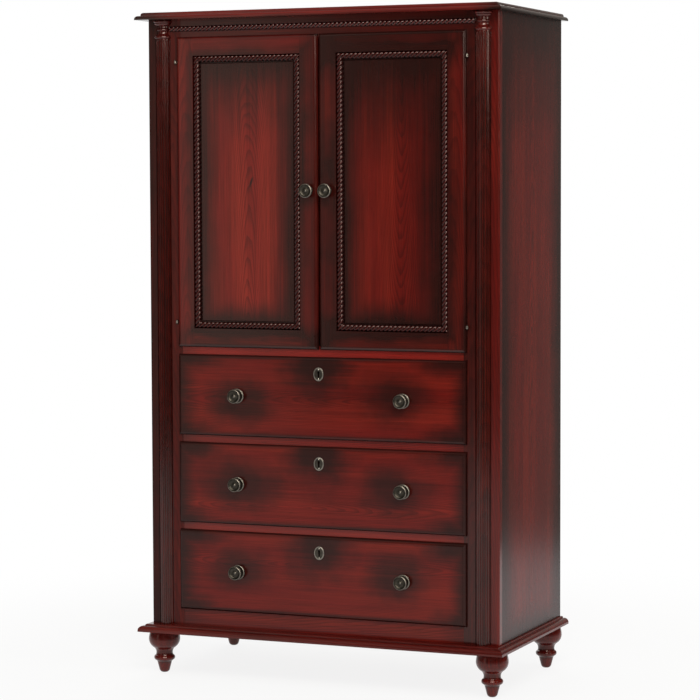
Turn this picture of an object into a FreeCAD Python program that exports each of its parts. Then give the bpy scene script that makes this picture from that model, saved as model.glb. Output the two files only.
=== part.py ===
import FreeCAD, Part
import math
import os

# Armoire with two framed doors over three lipped drawers, in millimetres.
# +Z is up, the front looks along -Y, and the origin is under the middle of the whole piece.

# Case
case_width = 1016.0
case_depth = 515.0
side_thick = 20.0
back_thick = 8.0
back_rabbet = 9.0
floor_thick = 20.0
floor_housing = 6.0
bottom_thick = 20.0
cable_radius = 30.0
cable_rise = 80.0

# Fronts, from the bottom up: what shows between the base and the top
bottom_reveal = 45.0
drawer_front_height = 222.0
rail_reveal = 19.0
door_height = 843.0
frieze_reveal = 47.0
post_reveal = 89.0
door_gap = 4.0
drawer_count = 3

# Lip round every door and drawer front
lip_overlap = 10.0
lip_thick = 12.0
lip_round = 8.5
lip_border = 9.5
lip_step = 1.0
front_inset = 10.0
front_side_clear = 1.5
front_top_clear = 3.0
run_clear = 0.3

# Face frame
frame_thick = 22.0
post_round = 4.0
tenon_length = 20.0
tenon_thick = 8.0
tenon_shoulder = 6.0

# Moulded boards at the top and the base
top_thick = 20.0
top_side_overhang = 20.0
top_front_overhang = 45.0
top_nose_height = 11.0
top_nose_round = 9.0
top_step = 13.0
top_crown_round = 7.0
base_thick = 20.5
base_side_overhang = 24.5
base_front_overhang = 47.0
base_nose_height = 16.0
base_nose_round = 12.0
base_step = 16.0
base_crown_round = 4.0
base_member_width = 90.0

# Fluted half columns with turned capitals, with radii as shares of the post's width beside the fronts
recess_gap = 1.5
flute_count = 9
flute_turn = 20.0
collar_height = 3.0
ring_height = 9.0
cove_height = 12.0
bead_height = 8.0
neck_height = 6.0
echinus_height = 7.0
abacus_height = 9.0
shaft_radius_share = 0.2303
flute_radius_share = 0.0315
ring_radius_share = 0.2865
cove_radius_share = 0.2416
neck_radius_share = 0.1966
bead_radius_share = 0.2303
echinus_radius_share = 0.2865
abacus_radius_share = 0.309
column_recess_share = 0.0562

# Turned feet, with heights as shares of the foot
foot_height = 118.5
foot_radius = 43.5
foot_side_margin = 7.0
foot_front_margin = 21.5
foot_back_margin = 2.5
foot_shoulder_radius = 37.5
foot_shoulder_bow_share = 0.966
foot_swell_share = 0.875
foot_ogee_radius = 29.5
foot_neck_radius = 22.8
foot_waist_radius = 24.3
foot_ring_radius = 29.2
foot_ankle_radius = 20.5
foot_toe_radius = 14.8
foot_tip_radius = 8.0
foot_toe_bow_share = 0.03
foot_toe_share = 0.075
foot_ankle_share = 0.258
foot_ring_low_share = 0.2875
foot_ring_share = 0.347
foot_ring_high_share = 0.408
foot_neck_share = 0.467
foot_ogee_share = 0.583
foot_swell_level_share = 0.65
foot_bulb_share = 0.785
foot_shoulder_bow_level_share = 0.8875
spigot_radius = 11.0
spigot_length = 14.0

# Rope mouldings, as plain half rounds under their carving
rope_radius = 9.25
rope_base = 2.75
frieze_rope_radius = 8.0
frieze_rope_drop = 25.0

# Framed doors
door_stile_width = 50.5
door_rail_width = 52.0
door_knob_rise = 4.0
door_tenon_length = 24.0
panel_thick = 6.0
panel_setback = 11.0
panel_tongue = 7.0
panel_slack = 1.0
panel_margin = 1.5
panel_rise = 2.5
panel_bevel = 2.0

# Hinges with a short rounded knuckle beside the door
hinge_inset = 68.0
hinge_offset = 3.0
hinge_stand = 9.5
knuckle_radius = 3.3
knuckle_length = 8.0
knuckle_gap = 0.3
hinge_pin_radius = 1.8
hinge_pin_clear = 0.1
finial_radius = 2.6
leaf_thick = 1.5
leaf_height = 50.0
leaf_set = 1.0

# Magnetic door catches under the frieze rail
catch_width = 34.0
catch_height = 14.0
catch_depth = 22.0
catch_offset = 8.0
strike_gap = 1.3

# Adjustable shelf on four pins
shelf_thick = 19.0
shelf_side_gap = 2.0
shelf_setback = 20.0
shelf_back_gap = 12.0
shelf_pin_radius = 2.5
shelf_pin_depth = 8.0
shelf_pin_reach = 10.0
shelf_pin_inset = 50.0
pin_hole_rise = 300.0
pin_hole_pitch = 64.0
pin_hole_rows = 5
rows_below_shelf_count = 2

# Drawer boxes with dovetailed corners, on wooden runners
drawer_back_gap = 47.0
drawer_side_thick = 12.0
drawer_back_thick = 12.0
drawer_bottom_thick = 6.0
drawer_bottom_rise = 12.0
drawer_groove = 5.0
drawer_back_drop = 8.0
tail_length = 8.0
tail_count = 4
tail_width_share = 0.62
tail_flare_share = 0.16
runner_thick = 18.0
runner_width = 40.0
back_rail_width = 45.0
guide_height = 30.0
guide_thick = 14.0

# Drawer locks, with a bolt that rises into the rail above
keyhole_drop = 46.0
keyhole_radius = 3.4
keyhole_rise = 5.0
keyhole_slot_width = 4.8
keyhole_slot_fall = 8.5
escutcheon_width = 29.0
escutcheon_height = 36.5
escutcheon_thick = 2.4
escutcheon_round = 1.2
escutcheon_rim_width = 3.0
escutcheon_sink = 0.9
lock_width = 56.0
lock_height = 50.0
lock_let_in = 7.0
lock_proud = 4.0
key_post_radius = 1.2
bolt_width = 24.0
bolt_thick = 6.0
bolt_length = 20.0
bolt_travel = 8.0
bolt_clear = 0.2
strike_clear = 0.6

# Turned metal knobs, each held by a screw from inside, on rosettes (drawers) or collars (doors)
knob_spread_share = 0.576
knob_radius = 19.0
knob_length = 25.0
rosette_radius = 20.0
collar_radius = 13.0
rosette_thick = 4.0
rosette_round = 2.5
knob_foot_radius = 9.3
knob_neck_radius = 7.5
knob_neck_length = 8.0
knob_edge_drop = 3.5
knob_rim_width = 2.2
knob_dish_depth = 5.0
knob_button_radius = 4.6
knob_button_sink = 4.2
knob_button_rise = 2.4
screw_radius = 2.0
screw_grip = 11.0
screw_head_radius = 4.5
screw_head_thick = 2.2
screw_hole_clear = 0.3

# Length by which every cutting tool runs past the face that it cuts
overrun = 2.0

# Levels and planes that follow from the sizes above
case_half = case_width / 2
front_half = case_half - post_reveal
opening_half = front_half - lip_overlap
inside_half = case_half - side_thick
face_y = (base_front_overhang - case_depth) / 2
back_y = face_y + case_depth
frame_back_y = face_y + frame_thick
panel_face_y = back_y - back_thick
lip_face_y = face_y - lip_thick
front_back_y = face_y + front_inset
case_bottom = foot_height + base_thick
drawer_pitch = drawer_front_height + rail_reveal
first_drawer_z = case_bottom + bottom_reveal
door_bottom = first_drawer_z + drawer_count * drawer_pitch
door_top = door_bottom + door_height
case_top = door_top + frieze_reveal
door_opening_low = door_bottom + lip_overlap
door_opening_high = door_top - lip_overlap
column_x = (front_half + case_half) / 2
column_y = face_y + post_reveal * column_recess_share
shaft_radius = post_reveal * shaft_radius_share
flute_radius = post_reveal * flute_radius_share
ring_radius = post_reveal * ring_radius_share
cove_radius = post_reveal * cove_radius_share
neck_radius = post_reveal * neck_radius_share
bead_radius = post_reveal * bead_radius_share
echinus_radius = post_reveal * echinus_radius_share
abacus_radius = post_reveal * abacus_radius_share
capital_z = case_top - (collar_height + ring_height + cove_height + bead_height
                        + neck_height + echinus_height + abacus_height)
hinge_pin_x = front_half + hinge_offset
hinge_pin_y = face_y - hinge_stand
hinge_levels = (door_bottom + hinge_inset, door_top - hinge_inset)
pin_levels = [door_opening_low + pin_hole_rise + row * pin_hole_pitch for row in range(pin_hole_rows)]
shelf_z = pin_levels[rows_below_shelf_count] + shelf_pin_radius
shelf_front_y = frame_back_y + shelf_setback
shelf_back_y = panel_face_y - shelf_back_gap
bolt_y = front_back_y - lock_let_in + (lock_let_in + lock_proud - bolt_thick) / 2
bow_share = 1 - math.sqrt(0.5)

X_AXIS = FreeCAD.Vector(1, 0, 0)
Y_AXIS = FreeCAD.Vector(0, 1, 0)
Z_AXIS = FreeCAD.Vector(0, 0, 1)
SIDES = {"left": -1, "right": 1}


def point(x, y, z):
    return FreeCAD.Vector(x, y, z)


def box(x0, x1, y0, y1, z0, z1):
    """Box between two corners, whichever way round the X values come."""
    low = min(x0, x1)
    return Part.makeBox(abs(x1 - x0), y1 - y0, z1 - z0, point(low, y0, z0))


def line(start, end):
    return Part.LineSegment(start, end).toShape()


def arc(start, middle, end):
    return Part.Arc(start, middle, end).toShape()


def face_of(edges):
    return Part.Face(Part.Wire(Part.__sortEdges__(edges)))


def polygon(points):
    return Part.Face(Part.makePolygon(points + points[:1]))


def cut_all(shape, tools):
    return shape.cut(Part.Compound(tools))


def moulded_end(tip, inward, thick, nose_height, nose_round, step, crown_round):
    """Edges of a moulded board's end, from the tip of its underside up to its top face."""
    def at(reach, rise):
        return tip + inward * reach + Z_AXIS * rise

    nose_low = at(0, nose_height - nose_round)
    nose_bow = at(nose_round * bow_share, nose_height - nose_round * bow_share)
    nose_top = at(nose_round, nose_height)
    crown_low = at(step, thick - crown_round)
    crown_bow = at(step + crown_round * bow_share, thick - crown_round * bow_share)
    crown_top = at(step + crown_round, thick)
    step_foot = at(step, nose_height)
    edges = [
        line(tip, nose_low),
        arc(nose_low, nose_bow, nose_top),
        line(nose_top, step_foot),
        line(step_foot, crown_low),
        arc(crown_low, crown_bow, crown_top),
    ]
    return edges, crown_top


def moulded_board(half_width, front_y, low, thick, nose_height, nose_round, step, crown_round):
    """Board moulded along its front and both ends: two moulded sections that meet in mitres."""
    profile = (thick, nose_height, nose_round, step, crown_round)
    left_tip = point(-half_width, front_y, low)
    right_tip = point(half_width, front_y, low)
    left_edges, left_top = moulded_end(left_tip, X_AXIS, *profile)
    right_edges, right_top = moulded_end(right_tip, -X_AXIS, *profile)
    across = face_of(left_edges + right_edges + [line(left_top, right_top), line(left_tip, right_tip)])
    front_edges, front_top = moulded_end(left_tip, Y_AXIS, *profile)
    back_low = point(-half_width, back_y, low)
    back_top = back_low + Z_AXIS * thick
    back_edges = [line(front_top, back_top), line(back_top, back_low), line(back_low, left_tip)]
    along = face_of(front_edges + back_edges)
    return across.extrude(Y_AXIS * (back_y - front_y)).common(along.extrude(X_AXIS * 2 * half_width))


def top_board():
    return moulded_board(case_half + top_side_overhang, face_y - top_front_overhang, case_top, top_thick,
                         top_nose_height, top_nose_round, top_step, top_crown_round)


def foot_places():
    x = case_half + base_side_overhang - foot_radius - foot_side_margin
    front = face_y - base_front_overhang + foot_radius + foot_front_margin
    back = back_y - foot_radius - foot_back_margin
    return [(side * x, y) for side in SIDES.values() for y in (front, back)]


def spigot_holes():
    centres = [point(x, y, foot_height) for x, y in foot_places()]
    return [Part.makeCylinder(spigot_radius, spigot_length, centre) for centre in centres]


def base_moulding():
    """Mitred frame that carries the case: front and two ends moulded, the back one plain."""
    half = case_half + base_side_overhang
    front_y = face_y - base_front_overhang
    inner_half = half - base_member_width
    inner_front = front_y + base_member_width
    inner_back = back_y - base_member_width
    board = moulded_board(half, front_y, foot_height, base_thick,
                          base_nose_height, base_nose_round, base_step, base_crown_round)
    board = cut_all(board, spigot_holes())
    plans = [
        [(-half, front_y), (half, front_y), (inner_half, inner_front), (-inner_half, inner_front)],
        [(-inner_half, inner_back), (inner_half, inner_back), (inner_half, back_y), (-inner_half, back_y)],
    ]
    for side in SIDES.values():
        plans.append([(side * half, front_y), (side * inner_half, inner_front),
                      (side * inner_half, back_y), (side * half, back_y)])
    members = []
    for plan in plans:
        outline = polygon([point(x, y, foot_height) for x, y in plan])
        members.append(board.common(outline.extrude(Z_AXIS * base_thick)))
    return Part.Compound(members)


def turned_foot(x, y):
    """Foot turned to a toe, a ring, a neck and a bulb, with a spigot that plugs into the base."""
    def at(radius, level_share):
        return point(x + radius, y, foot_height * level_share)

    floor = point(x, y, 0)
    tip = point(x + foot_tip_radius, y, 0)
    toe = at(foot_toe_radius, foot_toe_share)
    toe_bow = at((foot_tip_radius + 2 * foot_toe_radius) / 3, foot_toe_bow_share)
    ankle = at(foot_ankle_radius, foot_ankle_share)
    ring_low = at(foot_waist_radius, foot_ring_low_share)
    ring = at(foot_ring_radius, foot_ring_share)
    ring_high = at(foot_waist_radius, foot_ring_high_share)
    neck = at(foot_neck_radius, foot_neck_share)
    ogee = at(foot_ogee_radius, foot_ogee_share)
    swell = at(foot_radius * foot_swell_share, foot_swell_level_share)
    bulb = at(foot_radius, foot_bulb_share)
    shoulder_bow = at(foot_radius * foot_shoulder_bow_share, foot_shoulder_bow_level_share)
    shoulder = point(x + foot_shoulder_radius, y, foot_height)
    spigot_foot = point(x + spigot_radius, y, foot_height)
    spigot_rim = spigot_foot + Z_AXIS * spigot_length
    spigot_top = floor + Z_AXIS * (foot_height + spigot_length)
    outline = face_of([
        line(floor, tip),
        arc(tip, toe_bow, toe),
        line(toe, ankle),
        line(ankle, ring_low),
        arc(ring_low, ring, ring_high),
        arc(ring_high, neck, ogee),
        arc(ogee, swell, bulb),
        arc(bulb, shoulder_bow, shoulder),
        line(shoulder, spigot_foot),
        line(spigot_foot, spigot_rim),
        line(spigot_rim, spigot_top),
        line(spigot_top, floor),
    ])
    return outline.revolve(floor, Z_AXIS, 360)


def turned_feet():
    return Part.Compound([turned_foot(x, y) for x, y in foot_places()])


def side_panel(side):
    """Side board, rabbeted for the back, housed for the cabinet floor and bored for the shelf pins."""
    inner = side * inside_half
    board = box(inner, side * case_half, frame_back_y, back_y, case_bottom, case_top)
    rabbet = box(inner, inner + side * back_rabbet, panel_face_y, back_y, case_bottom, case_top)
    housing = box(inner, inner + side * floor_housing, frame_back_y, panel_face_y,
                  door_opening_low - floor_thick, door_opening_low)
    return cut_all(board, [rabbet, housing] + shelf_pin_holes(side))


def shelf_pin_holes(side):
    start = side * inside_half
    return [Part.makeCylinder(shelf_pin_radius, shelf_pin_depth, point(start, y, z), X_AXIS * side)
            for y in shelf_pin_rows() for z in pin_levels]


def shelf_pin_rows():
    return (shelf_front_y + shelf_pin_inset, shelf_back_y - shelf_pin_inset)


def shelf_pins():
    length = shelf_pin_depth + shelf_pin_reach
    level = pin_levels[rows_below_shelf_count]
    pins = []
    for side in SIDES.values():
        start = side * (inside_half + shelf_pin_depth)
        for y in shelf_pin_rows():
            pins.append(Part.makeCylinder(shelf_pin_radius, length, point(start, y, level), X_AXIS * -side))
    return Part.Compound(pins)


def adjustable_shelf():
    half = inside_half - shelf_side_gap
    return box(-half, half, shelf_front_y, shelf_back_y, shelf_z, shelf_z + shelf_thick)


def back_panel():
    """Back sheet in the rabbets of the sides, with a hole for cables above the cabinet floor."""
    half = inside_half + back_rabbet
    sheet = box(-half, half, panel_face_y, back_y, case_bottom, case_top)
    centre = point(0, panel_face_y, door_opening_low + cable_rise)
    hole = Part.makeCylinder(cable_radius, back_thick, centre, Y_AXIS)
    return sheet.cut(hole)


def cabinet_floor():
    half = inside_half + floor_housing
    return box(-half, half, frame_back_y, panel_face_y, door_opening_low - floor_thick, door_opening_low)


def bottom_board():
    return box(-inside_half, inside_half, frame_back_y, panel_face_y, case_bottom, case_bottom + bottom_thick)


def drawer_opening(index):
    """Lower and upper edge of one drawer's opening, counted from the bottom drawer."""
    low = first_drawer_z + index * drawer_pitch + lip_overlap
    return low, low + drawer_front_height - 2 * lip_overlap


def rail_levels():
    """Lower and upper edge of every rail of the face frame, from the bottom up."""
    edges = [case_bottom]
    for index in range(drawer_count):
        edges.extend(drawer_opening(index))
    edges.extend([door_opening_low, door_opening_high, case_top])
    return [(edges[place], edges[place + 1]) for place in range(0, len(edges), 2)]


def rail_tenons(low, high):
    y0 = face_y + (frame_thick - tenon_thick) / 2
    return [box(side * opening_half, side * (opening_half + tenon_length), y0, y0 + tenon_thick,
                low + tenon_shoulder, high - tenon_shoulder) for side in SIDES.values()]


def strike_mortise(low):
    """Pocket in a rail's underside that takes the bolt of the drawer below."""
    half = bolt_width / 2 + strike_clear
    return box(-half, half, bolt_y - strike_clear, bolt_y + bolt_thick + strike_clear,
               low, low + bolt_travel + strike_clear)


def frame_rail(low, high, over_drawer):
    rail = box(-opening_half, opening_half, face_y, frame_back_y, low, high)
    rail = rail.multiFuse(rail_tenons(low, high))
    if over_drawer:
        rail = rail.cut(strike_mortise(low))
    return rail


def corner_post(side):
    """Post with a rounded outer arris, a channel for the column, mortises and hinge gains."""
    post = box(side * opening_half, side * case_half, face_y, frame_back_y, case_bottom, case_top)
    arris = [edge for edge in post.Edges
             if all(abs(end.X - side * case_half) < run_clear and abs(end.Y - face_y) < run_clear
                    for end in edge.Vertexes)]
    post = post.makeFillet(post_round, arris)
    half = shaft_radius + recess_gap
    channel = box(side * column_x - half, side * column_x + half, face_y, column_y, case_bottom, capital_z)
    tools = [channel]
    for low, high in rail_levels():
        tools.extend(rail_tenons(low, high))
    tools.extend(post_hinge_leaf(side, level) for level in hinge_levels)
    return cut_all(post, tools)


def column(side):
    """Half column: fluted shaft in the post's channel, ringed capital on the post's face."""
    x = side * column_x

    def at(radius, level):
        return point(x + radius, column_y, level)

    ring_low = capital_z + collar_height
    ring_high = ring_low + ring_height
    bead_low = ring_high + cove_height
    bead_high = bead_low + bead_height
    echinus_low = bead_high + neck_height
    abacus_low = echinus_low + echinus_height
    ring_seat = ring_radius - ring_height / 2
    bead_seat = bead_radius - bead_height / 2
    abacus_seat = abacus_radius - abacus_height / 2
    cove_bow = neck_radius + (cove_radius - neck_radius) * bow_share
    echinus_bow = neck_radius + (echinus_radius - neck_radius) * (1 - bow_share)
    outline = face_of([
        line(at(0, case_bottom), at(shaft_radius, case_bottom)),
        line(at(shaft_radius, case_bottom), at(shaft_radius, ring_low)),
        line(at(shaft_radius, ring_low), at(ring_seat, ring_low)),
        arc(at(ring_seat, ring_low), at(ring_radius, ring_low + ring_height / 2), at(ring_seat, ring_high)),
        line(at(ring_seat, ring_high), at(cove_radius, ring_high)),
        arc(at(cove_radius, ring_high), at(cove_bow, ring_high + cove_height * bow_share),
            at(neck_radius, bead_low)),
        line(at(neck_radius, bead_low), at(bead_seat, bead_low)),
        arc(at(bead_seat, bead_low), at(bead_radius, bead_low + bead_height / 2), at(bead_seat, bead_high)),
        line(at(bead_seat, bead_high), at(neck_radius, bead_high)),
        line(at(neck_radius, bead_high), at(neck_radius, echinus_low)),
        arc(at(neck_radius, echinus_low), at(echinus_bow, echinus_low + echinus_height * bow_share),
            at(echinus_radius, abacus_low)),
        line(at(echinus_radius, abacus_low), at(abacus_seat, abacus_low)),
        arc(at(abacus_seat, abacus_low), at(abacus_radius, abacus_low + abacus_height / 2),
            at(abacus_seat, case_top)),
        line(at(abacus_seat, case_top), at(0, case_top)),
        line(at(0, case_top), at(0, case_bottom)),
    ])
    turned = outline.revolve(at(0, case_bottom), Z_AXIS, -180)
    seat = box(x - abacus_radius - overrun, x + abacus_radius + overrun, face_y, column_y + overrun,
               capital_z, case_top + overrun)
    flutes = []
    for index in range(flute_count):
        turn = math.radians(flute_turn * (index - (flute_count - 1) / 2))
        centre = point(x + shaft_radius * math.sin(turn), column_y - shaft_radius * math.cos(turn),
                       case_bottom - overrun)
        flutes.append(Part.makeCylinder(flute_radius, capital_z - case_bottom + overrun, centre))
    return cut_all(turned, [seat] + flutes)


def half_round(x0, x1, radius, level):
    """Half-round bead along the face frame."""
    rod = Part.makeCylinder(radius, x1 - x0, point(x0, face_y, level), X_AXIS)
    behind = box(x0 - overrun, x1 + overrun, face_y, face_y + radius + overrun,
                 level - radius - overrun, level + radius + overrun)
    return rod.cut(behind)


def frieze_rope():
    reach = column_x - bead_radius - recess_gap
    return half_round(-reach, reach, frieze_rope_radius, case_top - frieze_rope_drop)


def lipped_plate(x0, x1, z0, z1):
    """Plate that stands on the face frame: a rounded rim, then a small step up to the flat field."""
    rim_y = lip_face_y + lip_step
    rim = box(x0, x1, rim_y, face_y, z0, z1)
    front_edges = [edge for edge in rim.Edges if all(abs(end.Y - rim_y) < run_clear for end in edge.Vertexes)]
    rim = rim.makeFillet(lip_round, front_edges)
    low = min(x0, x1)
    high = max(x0, x1)
    field = box(low + lip_border, high - lip_border, lip_face_y, rim_y, z0 + lip_border, z1 - lip_border)
    return rim.fuse(field)


def door_edges(side):
    """Outer and meeting edge of a door, and the edges of the panel's opening between its stiles."""
    outer = side * front_half
    meeting = side * door_gap / 2
    return outer, meeting, outer - side * door_stile_width, meeting + side * door_stile_width


def door_blank(side):
    outer, meeting, panel_outer, panel_meeting = door_edges(side)
    body = box(side * (opening_half - front_side_clear), meeting, face_y, front_back_y,
               door_opening_low + run_clear, door_opening_high - front_top_clear)
    window = box(panel_outer, panel_meeting, lip_face_y, front_back_y,
                 door_bottom + door_rail_width, door_top - door_rail_width)
    return lipped_plate(outer, meeting, door_bottom, door_top).fuse(body).cut(window)


def panel_depths():
    front = lip_face_y + panel_setback
    return front, front + panel_thick


def door_grooves(side):
    """Space in the frame round the panel's edges, with slack for the panel to move."""
    outer, meeting, panel_outer, panel_meeting = door_edges(side)
    depth = panel_tongue + panel_slack
    front, back = panel_depths()
    return box(panel_outer + side * depth, panel_meeting - side * depth, front, back,
               door_bottom + door_rail_width - depth, door_top - door_rail_width + depth)


def door_tenons(side):
    outer, meeting, panel_outer, panel_meeting = door_edges(side)
    front, back = panel_depths()
    depth = panel_tongue + panel_slack
    spans = [
        (door_opening_low + tenon_shoulder, door_bottom + door_rail_width - depth),
        (door_top - door_rail_width + depth, door_opening_high - front_top_clear - tenon_shoulder),
    ]
    return [[box(panel_outer, panel_outer + side * door_tenon_length, front, back, low, high),
             box(panel_meeting, panel_meeting - side * door_tenon_length, front, back, low, high)]
            for low, high in spans]


def door_stiles(side):
    """Hinge stile and meeting stile, grooved for the panel and mortised for the rails."""
    outer, meeting, panel_outer, panel_meeting = door_edges(side)
    blank = door_blank(side)
    tools = [door_grooves(side)]
    for pair in door_tenons(side):
        tools.extend(pair)
    tools.extend(door_hinge_leaf(side, level) for level in hinge_levels)
    tools.append(knob_hole(*door_knob_place(side)))
    stiles = []
    for edge, inner in ((outer, panel_outer), (meeting, panel_meeting)):
        member = blank.common(box(edge, inner, lip_face_y, front_back_y, door_bottom, door_top))
        stiles.append(cut_all(member, tools))
    return Part.Compound(stiles)


def door_rails(side):
    outer, meeting, panel_outer, panel_meeting = door_edges(side)
    blank = door_blank(side)
    grooves = door_grooves(side)
    rails = []
    levels = ((door_bottom, door_bottom + door_rail_width), (door_top - door_rail_width, door_top))
    for (low, high), tenons in zip(levels, door_tenons(side)):
        member = blank.common(box(panel_outer, panel_meeting, lip_face_y, front_back_y, low, high))
        rails.append(member.cut(grooves).multiFuse(tenons))
    return Part.Compound(rails)


def door_panel(side):
    """Panel with a tongue round its edges and a raised, bevelled field."""
    outer, meeting, panel_outer, panel_meeting = door_edges(side)
    front, back = panel_depths()
    low = door_bottom + door_rail_width
    high = door_top - door_rail_width
    sheet = box(panel_outer + side * panel_tongue, panel_meeting - side * panel_tongue, front, back,
                low - panel_tongue, high + panel_tongue)
    inset = 2 * rope_radius + panel_margin
    field = box(panel_outer - side * inset, panel_meeting + side * inset, front - panel_rise, front,
                low + inset, high - inset)
    rim = [edge for edge in field.Edges
           if all(abs(end.Y - front + panel_rise) < run_clear for end in edge.Vertexes)]
    return sheet.fuse(field.makeChamfer(panel_bevel, rim))


def rope_strip(corner, along, inward, length):
    """Strip of rope moulding beside the door frame, with both ends mitred."""
    def at(reach, rise):
        return corner + inward * reach - Y_AXIS * rise

    width = 2 * rope_radius
    crown = rope_base + rope_radius
    section = face_of([
        line(at(0, 0), at(width, 0)),
        line(at(width, 0), at(width, rope_base)),
        arc(at(width, rope_base), at(rope_radius, crown), at(0, rope_base)),
        line(at(0, rope_base), at(0, 0)),
    ])
    reach = width + overrun
    wedges = []
    for start, way in ((corner, along), (corner + along * length, -along)):
        outline = polygon([start - way * overrun - inward * overrun, start + inward * reach - way * overrun,
                           start + inward * reach + way * reach])
        wedges.append(outline.extrude(-Y_AXIS * (crown + overrun)))
    return cut_all(section.extrude(along * length), wedges)


def door_rope(side):
    outer, meeting, panel_outer, panel_meeting = door_edges(side)
    x0 = min(panel_outer, panel_meeting)
    x1 = max(panel_outer, panel_meeting)
    z0 = door_bottom + door_rail_width
    z1 = door_top - door_rail_width
    y = panel_depths()[0]
    strips = [
        rope_strip(point(x0, y, z0), X_AXIS, Z_AXIS, x1 - x0),
        rope_strip(point(x0, y, z1), X_AXIS, -Z_AXIS, x1 - x0),
        rope_strip(point(x0, y, z0), Z_AXIS, X_AXIS, z1 - z0),
        rope_strip(point(x1, y, z0), Z_AXIS, -X_AXIS, z1 - z0),
    ]
    return Part.Compound(strips)


def knuckle(side, low, high):
    return Part.makeCylinder(knuckle_radius, high - low, point(side * hinge_pin_x, hinge_pin_y, low))


def pin_bore(side, level):
    return Part.makeCylinder(hinge_pin_radius + hinge_pin_clear, knuckle_length + 2 * overrun,
                             point(side * hinge_pin_x, hinge_pin_y, level - knuckle_length / 2 - overrun))


def post_hinge_leaf(side, level):
    """Leaf let into the post, with the lower half of the knuckle."""
    low = level - knuckle_length / 2
    high = level - knuckle_gap / 2
    plate = box(side * (opening_half + leaf_set), side * front_half, face_y, face_y + leaf_thick,
                level - leaf_height / 2, level + leaf_height / 2)
    neck = box(side * front_half, side * (hinge_pin_x + leaf_thick), face_y, face_y + leaf_thick, low, high)
    web = box(side * (hinge_pin_x - leaf_thick), side * (hinge_pin_x + leaf_thick), hinge_pin_y,
              face_y + leaf_thick, low, high)
    return plate.multiFuse([neck, web, knuckle(side, low, high)]).cut(pin_bore(side, level))


def door_hinge_leaf(side, level):
    """Leaf let into the back of the door's lip, with the upper half of the knuckle."""
    low = level + knuckle_gap / 2
    high = level + knuckle_length / 2
    plate = box(side * (opening_half + leaf_set), side * front_half, face_y - leaf_thick, face_y,
                level - leaf_height / 2, level + leaf_height / 2)
    neck = box(side * front_half, side * hinge_pin_x, hinge_pin_y, face_y, low, high)
    return plate.multiFuse([neck, knuckle(side, low, high)]).cut(pin_bore(side, level))


def hinge_pin(side, level):
    """Pin with a rounded finial at each end of the knuckle."""
    reach = knuckle_length / 2 + knuckle_gap / 2
    middle = point(side * hinge_pin_x, hinge_pin_y, level)
    rod = Part.makeCylinder(hinge_pin_radius, 2 * reach, middle - Z_AXIS * reach)
    finials = [Part.makeSphere(finial_radius, middle + Z_AXIS * reach, Z_AXIS, 0, 90, 360),
               Part.makeSphere(finial_radius, middle - Z_AXIS * reach, Z_AXIS, -90, 0, 360)]
    return rod.multiFuse(finials)


def on_both_posts(maker):
    return Part.Compound([maker(side, level) for side in SIDES.values() for level in hinge_levels])


def door_catches():
    """Magnetic catch under the frieze rail, behind the meeting stile of each door."""
    y0 = front_back_y + strike_gap
    low = door_opening_high - catch_height
    return Part.Compound([box(side * catch_offset, side * (catch_offset + catch_width),
                              y0, y0 + catch_depth, low, door_opening_high) for side in SIDES.values()])


def door_knob_place(side):
    return side * (door_gap + door_stile_width) / 2, (door_bottom + door_top) / 2 + door_knob_rise


def knob_hole(x, z):
    return Part.makeCylinder(screw_radius + screw_hole_clear, front_back_y - lip_face_y,
                             point(x, lip_face_y, z), Y_AXIS)


def knob(x, z, plate_radius):
    """Back plate, waisted neck and dished head turned about one axis, with the screw that holds them."""
    def at(radius, stand):
        return point(x + radius, lip_face_y - stand, z)

    plate_edge = plate_radius - rosette_round
    plate_corner = rosette_round * bow_share
    waist = rosette_thick + knob_neck_length / 2
    head_back = rosette_thick + knob_neck_length
    widest = knob_length - knob_edge_drop
    flare_radius = knob_radius - (knob_radius - knob_foot_radius) * bow_share
    flare_bow = head_back + (widest - head_back) * bow_share
    rim_radius = knob_radius - knob_rim_width
    rim_bow = knob_length - knob_edge_drop * bow_share
    dish_bow = (rim_radius + knob_button_radius) / 2
    button_seat = knob_length - knob_button_sink
    button_sphere = (knob_button_radius ** 2 + knob_button_rise ** 2) / (2 * knob_button_rise)
    button_half = math.asin(knob_button_radius / button_sphere) / 2
    button_top = button_seat + knob_button_rise
    button_bow = button_top - button_sphere * (1 - math.cos(button_half))
    outline = face_of([
        line(at(0, 0), at(plate_radius, 0)),
        line(at(plate_radius, 0), at(plate_radius, rosette_thick - rosette_round)),
        arc(at(plate_radius, rosette_thick - rosette_round), at(plate_radius - plate_corner,
            rosette_thick - plate_corner), at(plate_edge, rosette_thick)),
        line(at(plate_edge, rosette_thick), at(knob_foot_radius, rosette_thick)),
        arc(at(knob_foot_radius, rosette_thick), at(knob_neck_radius, waist),
            at(knob_foot_radius, head_back)),
        arc(at(knob_foot_radius, head_back), at(flare_radius, flare_bow), at(knob_radius, widest)),
        arc(at(knob_radius, widest), at(knob_radius - knob_rim_width * bow_share, rim_bow),
            at(rim_radius, knob_length)),
        arc(at(rim_radius, knob_length), at(dish_bow, knob_length - knob_dish_depth),
            at(knob_button_radius, button_seat)),
        arc(at(knob_button_radius, button_seat), at(button_sphere * math.sin(button_half), button_bow),
            at(0, button_top)),
        line(at(0, button_top), at(0, 0)),
    ])
    turned = outline.revolve(at(0, 0), Y_AXIS, 360)
    shank_length = front_back_y - lip_face_y + screw_grip
    shank = Part.makeCylinder(screw_radius, shank_length, at(0, screw_grip), Y_AXIS)
    head = Part.makeCylinder(screw_head_radius, screw_head_thick, point(x, front_back_y, z), Y_AXIS)
    return [turned.cut(shank), shank.fuse(head)]


def drawer_levels(index):
    """Lower and upper edge of a drawer's box, with its running clearances."""
    low, high = drawer_opening(index)
    return low + run_clear, high - front_top_clear


def drawer_half():
    return opening_half - front_side_clear


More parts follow.
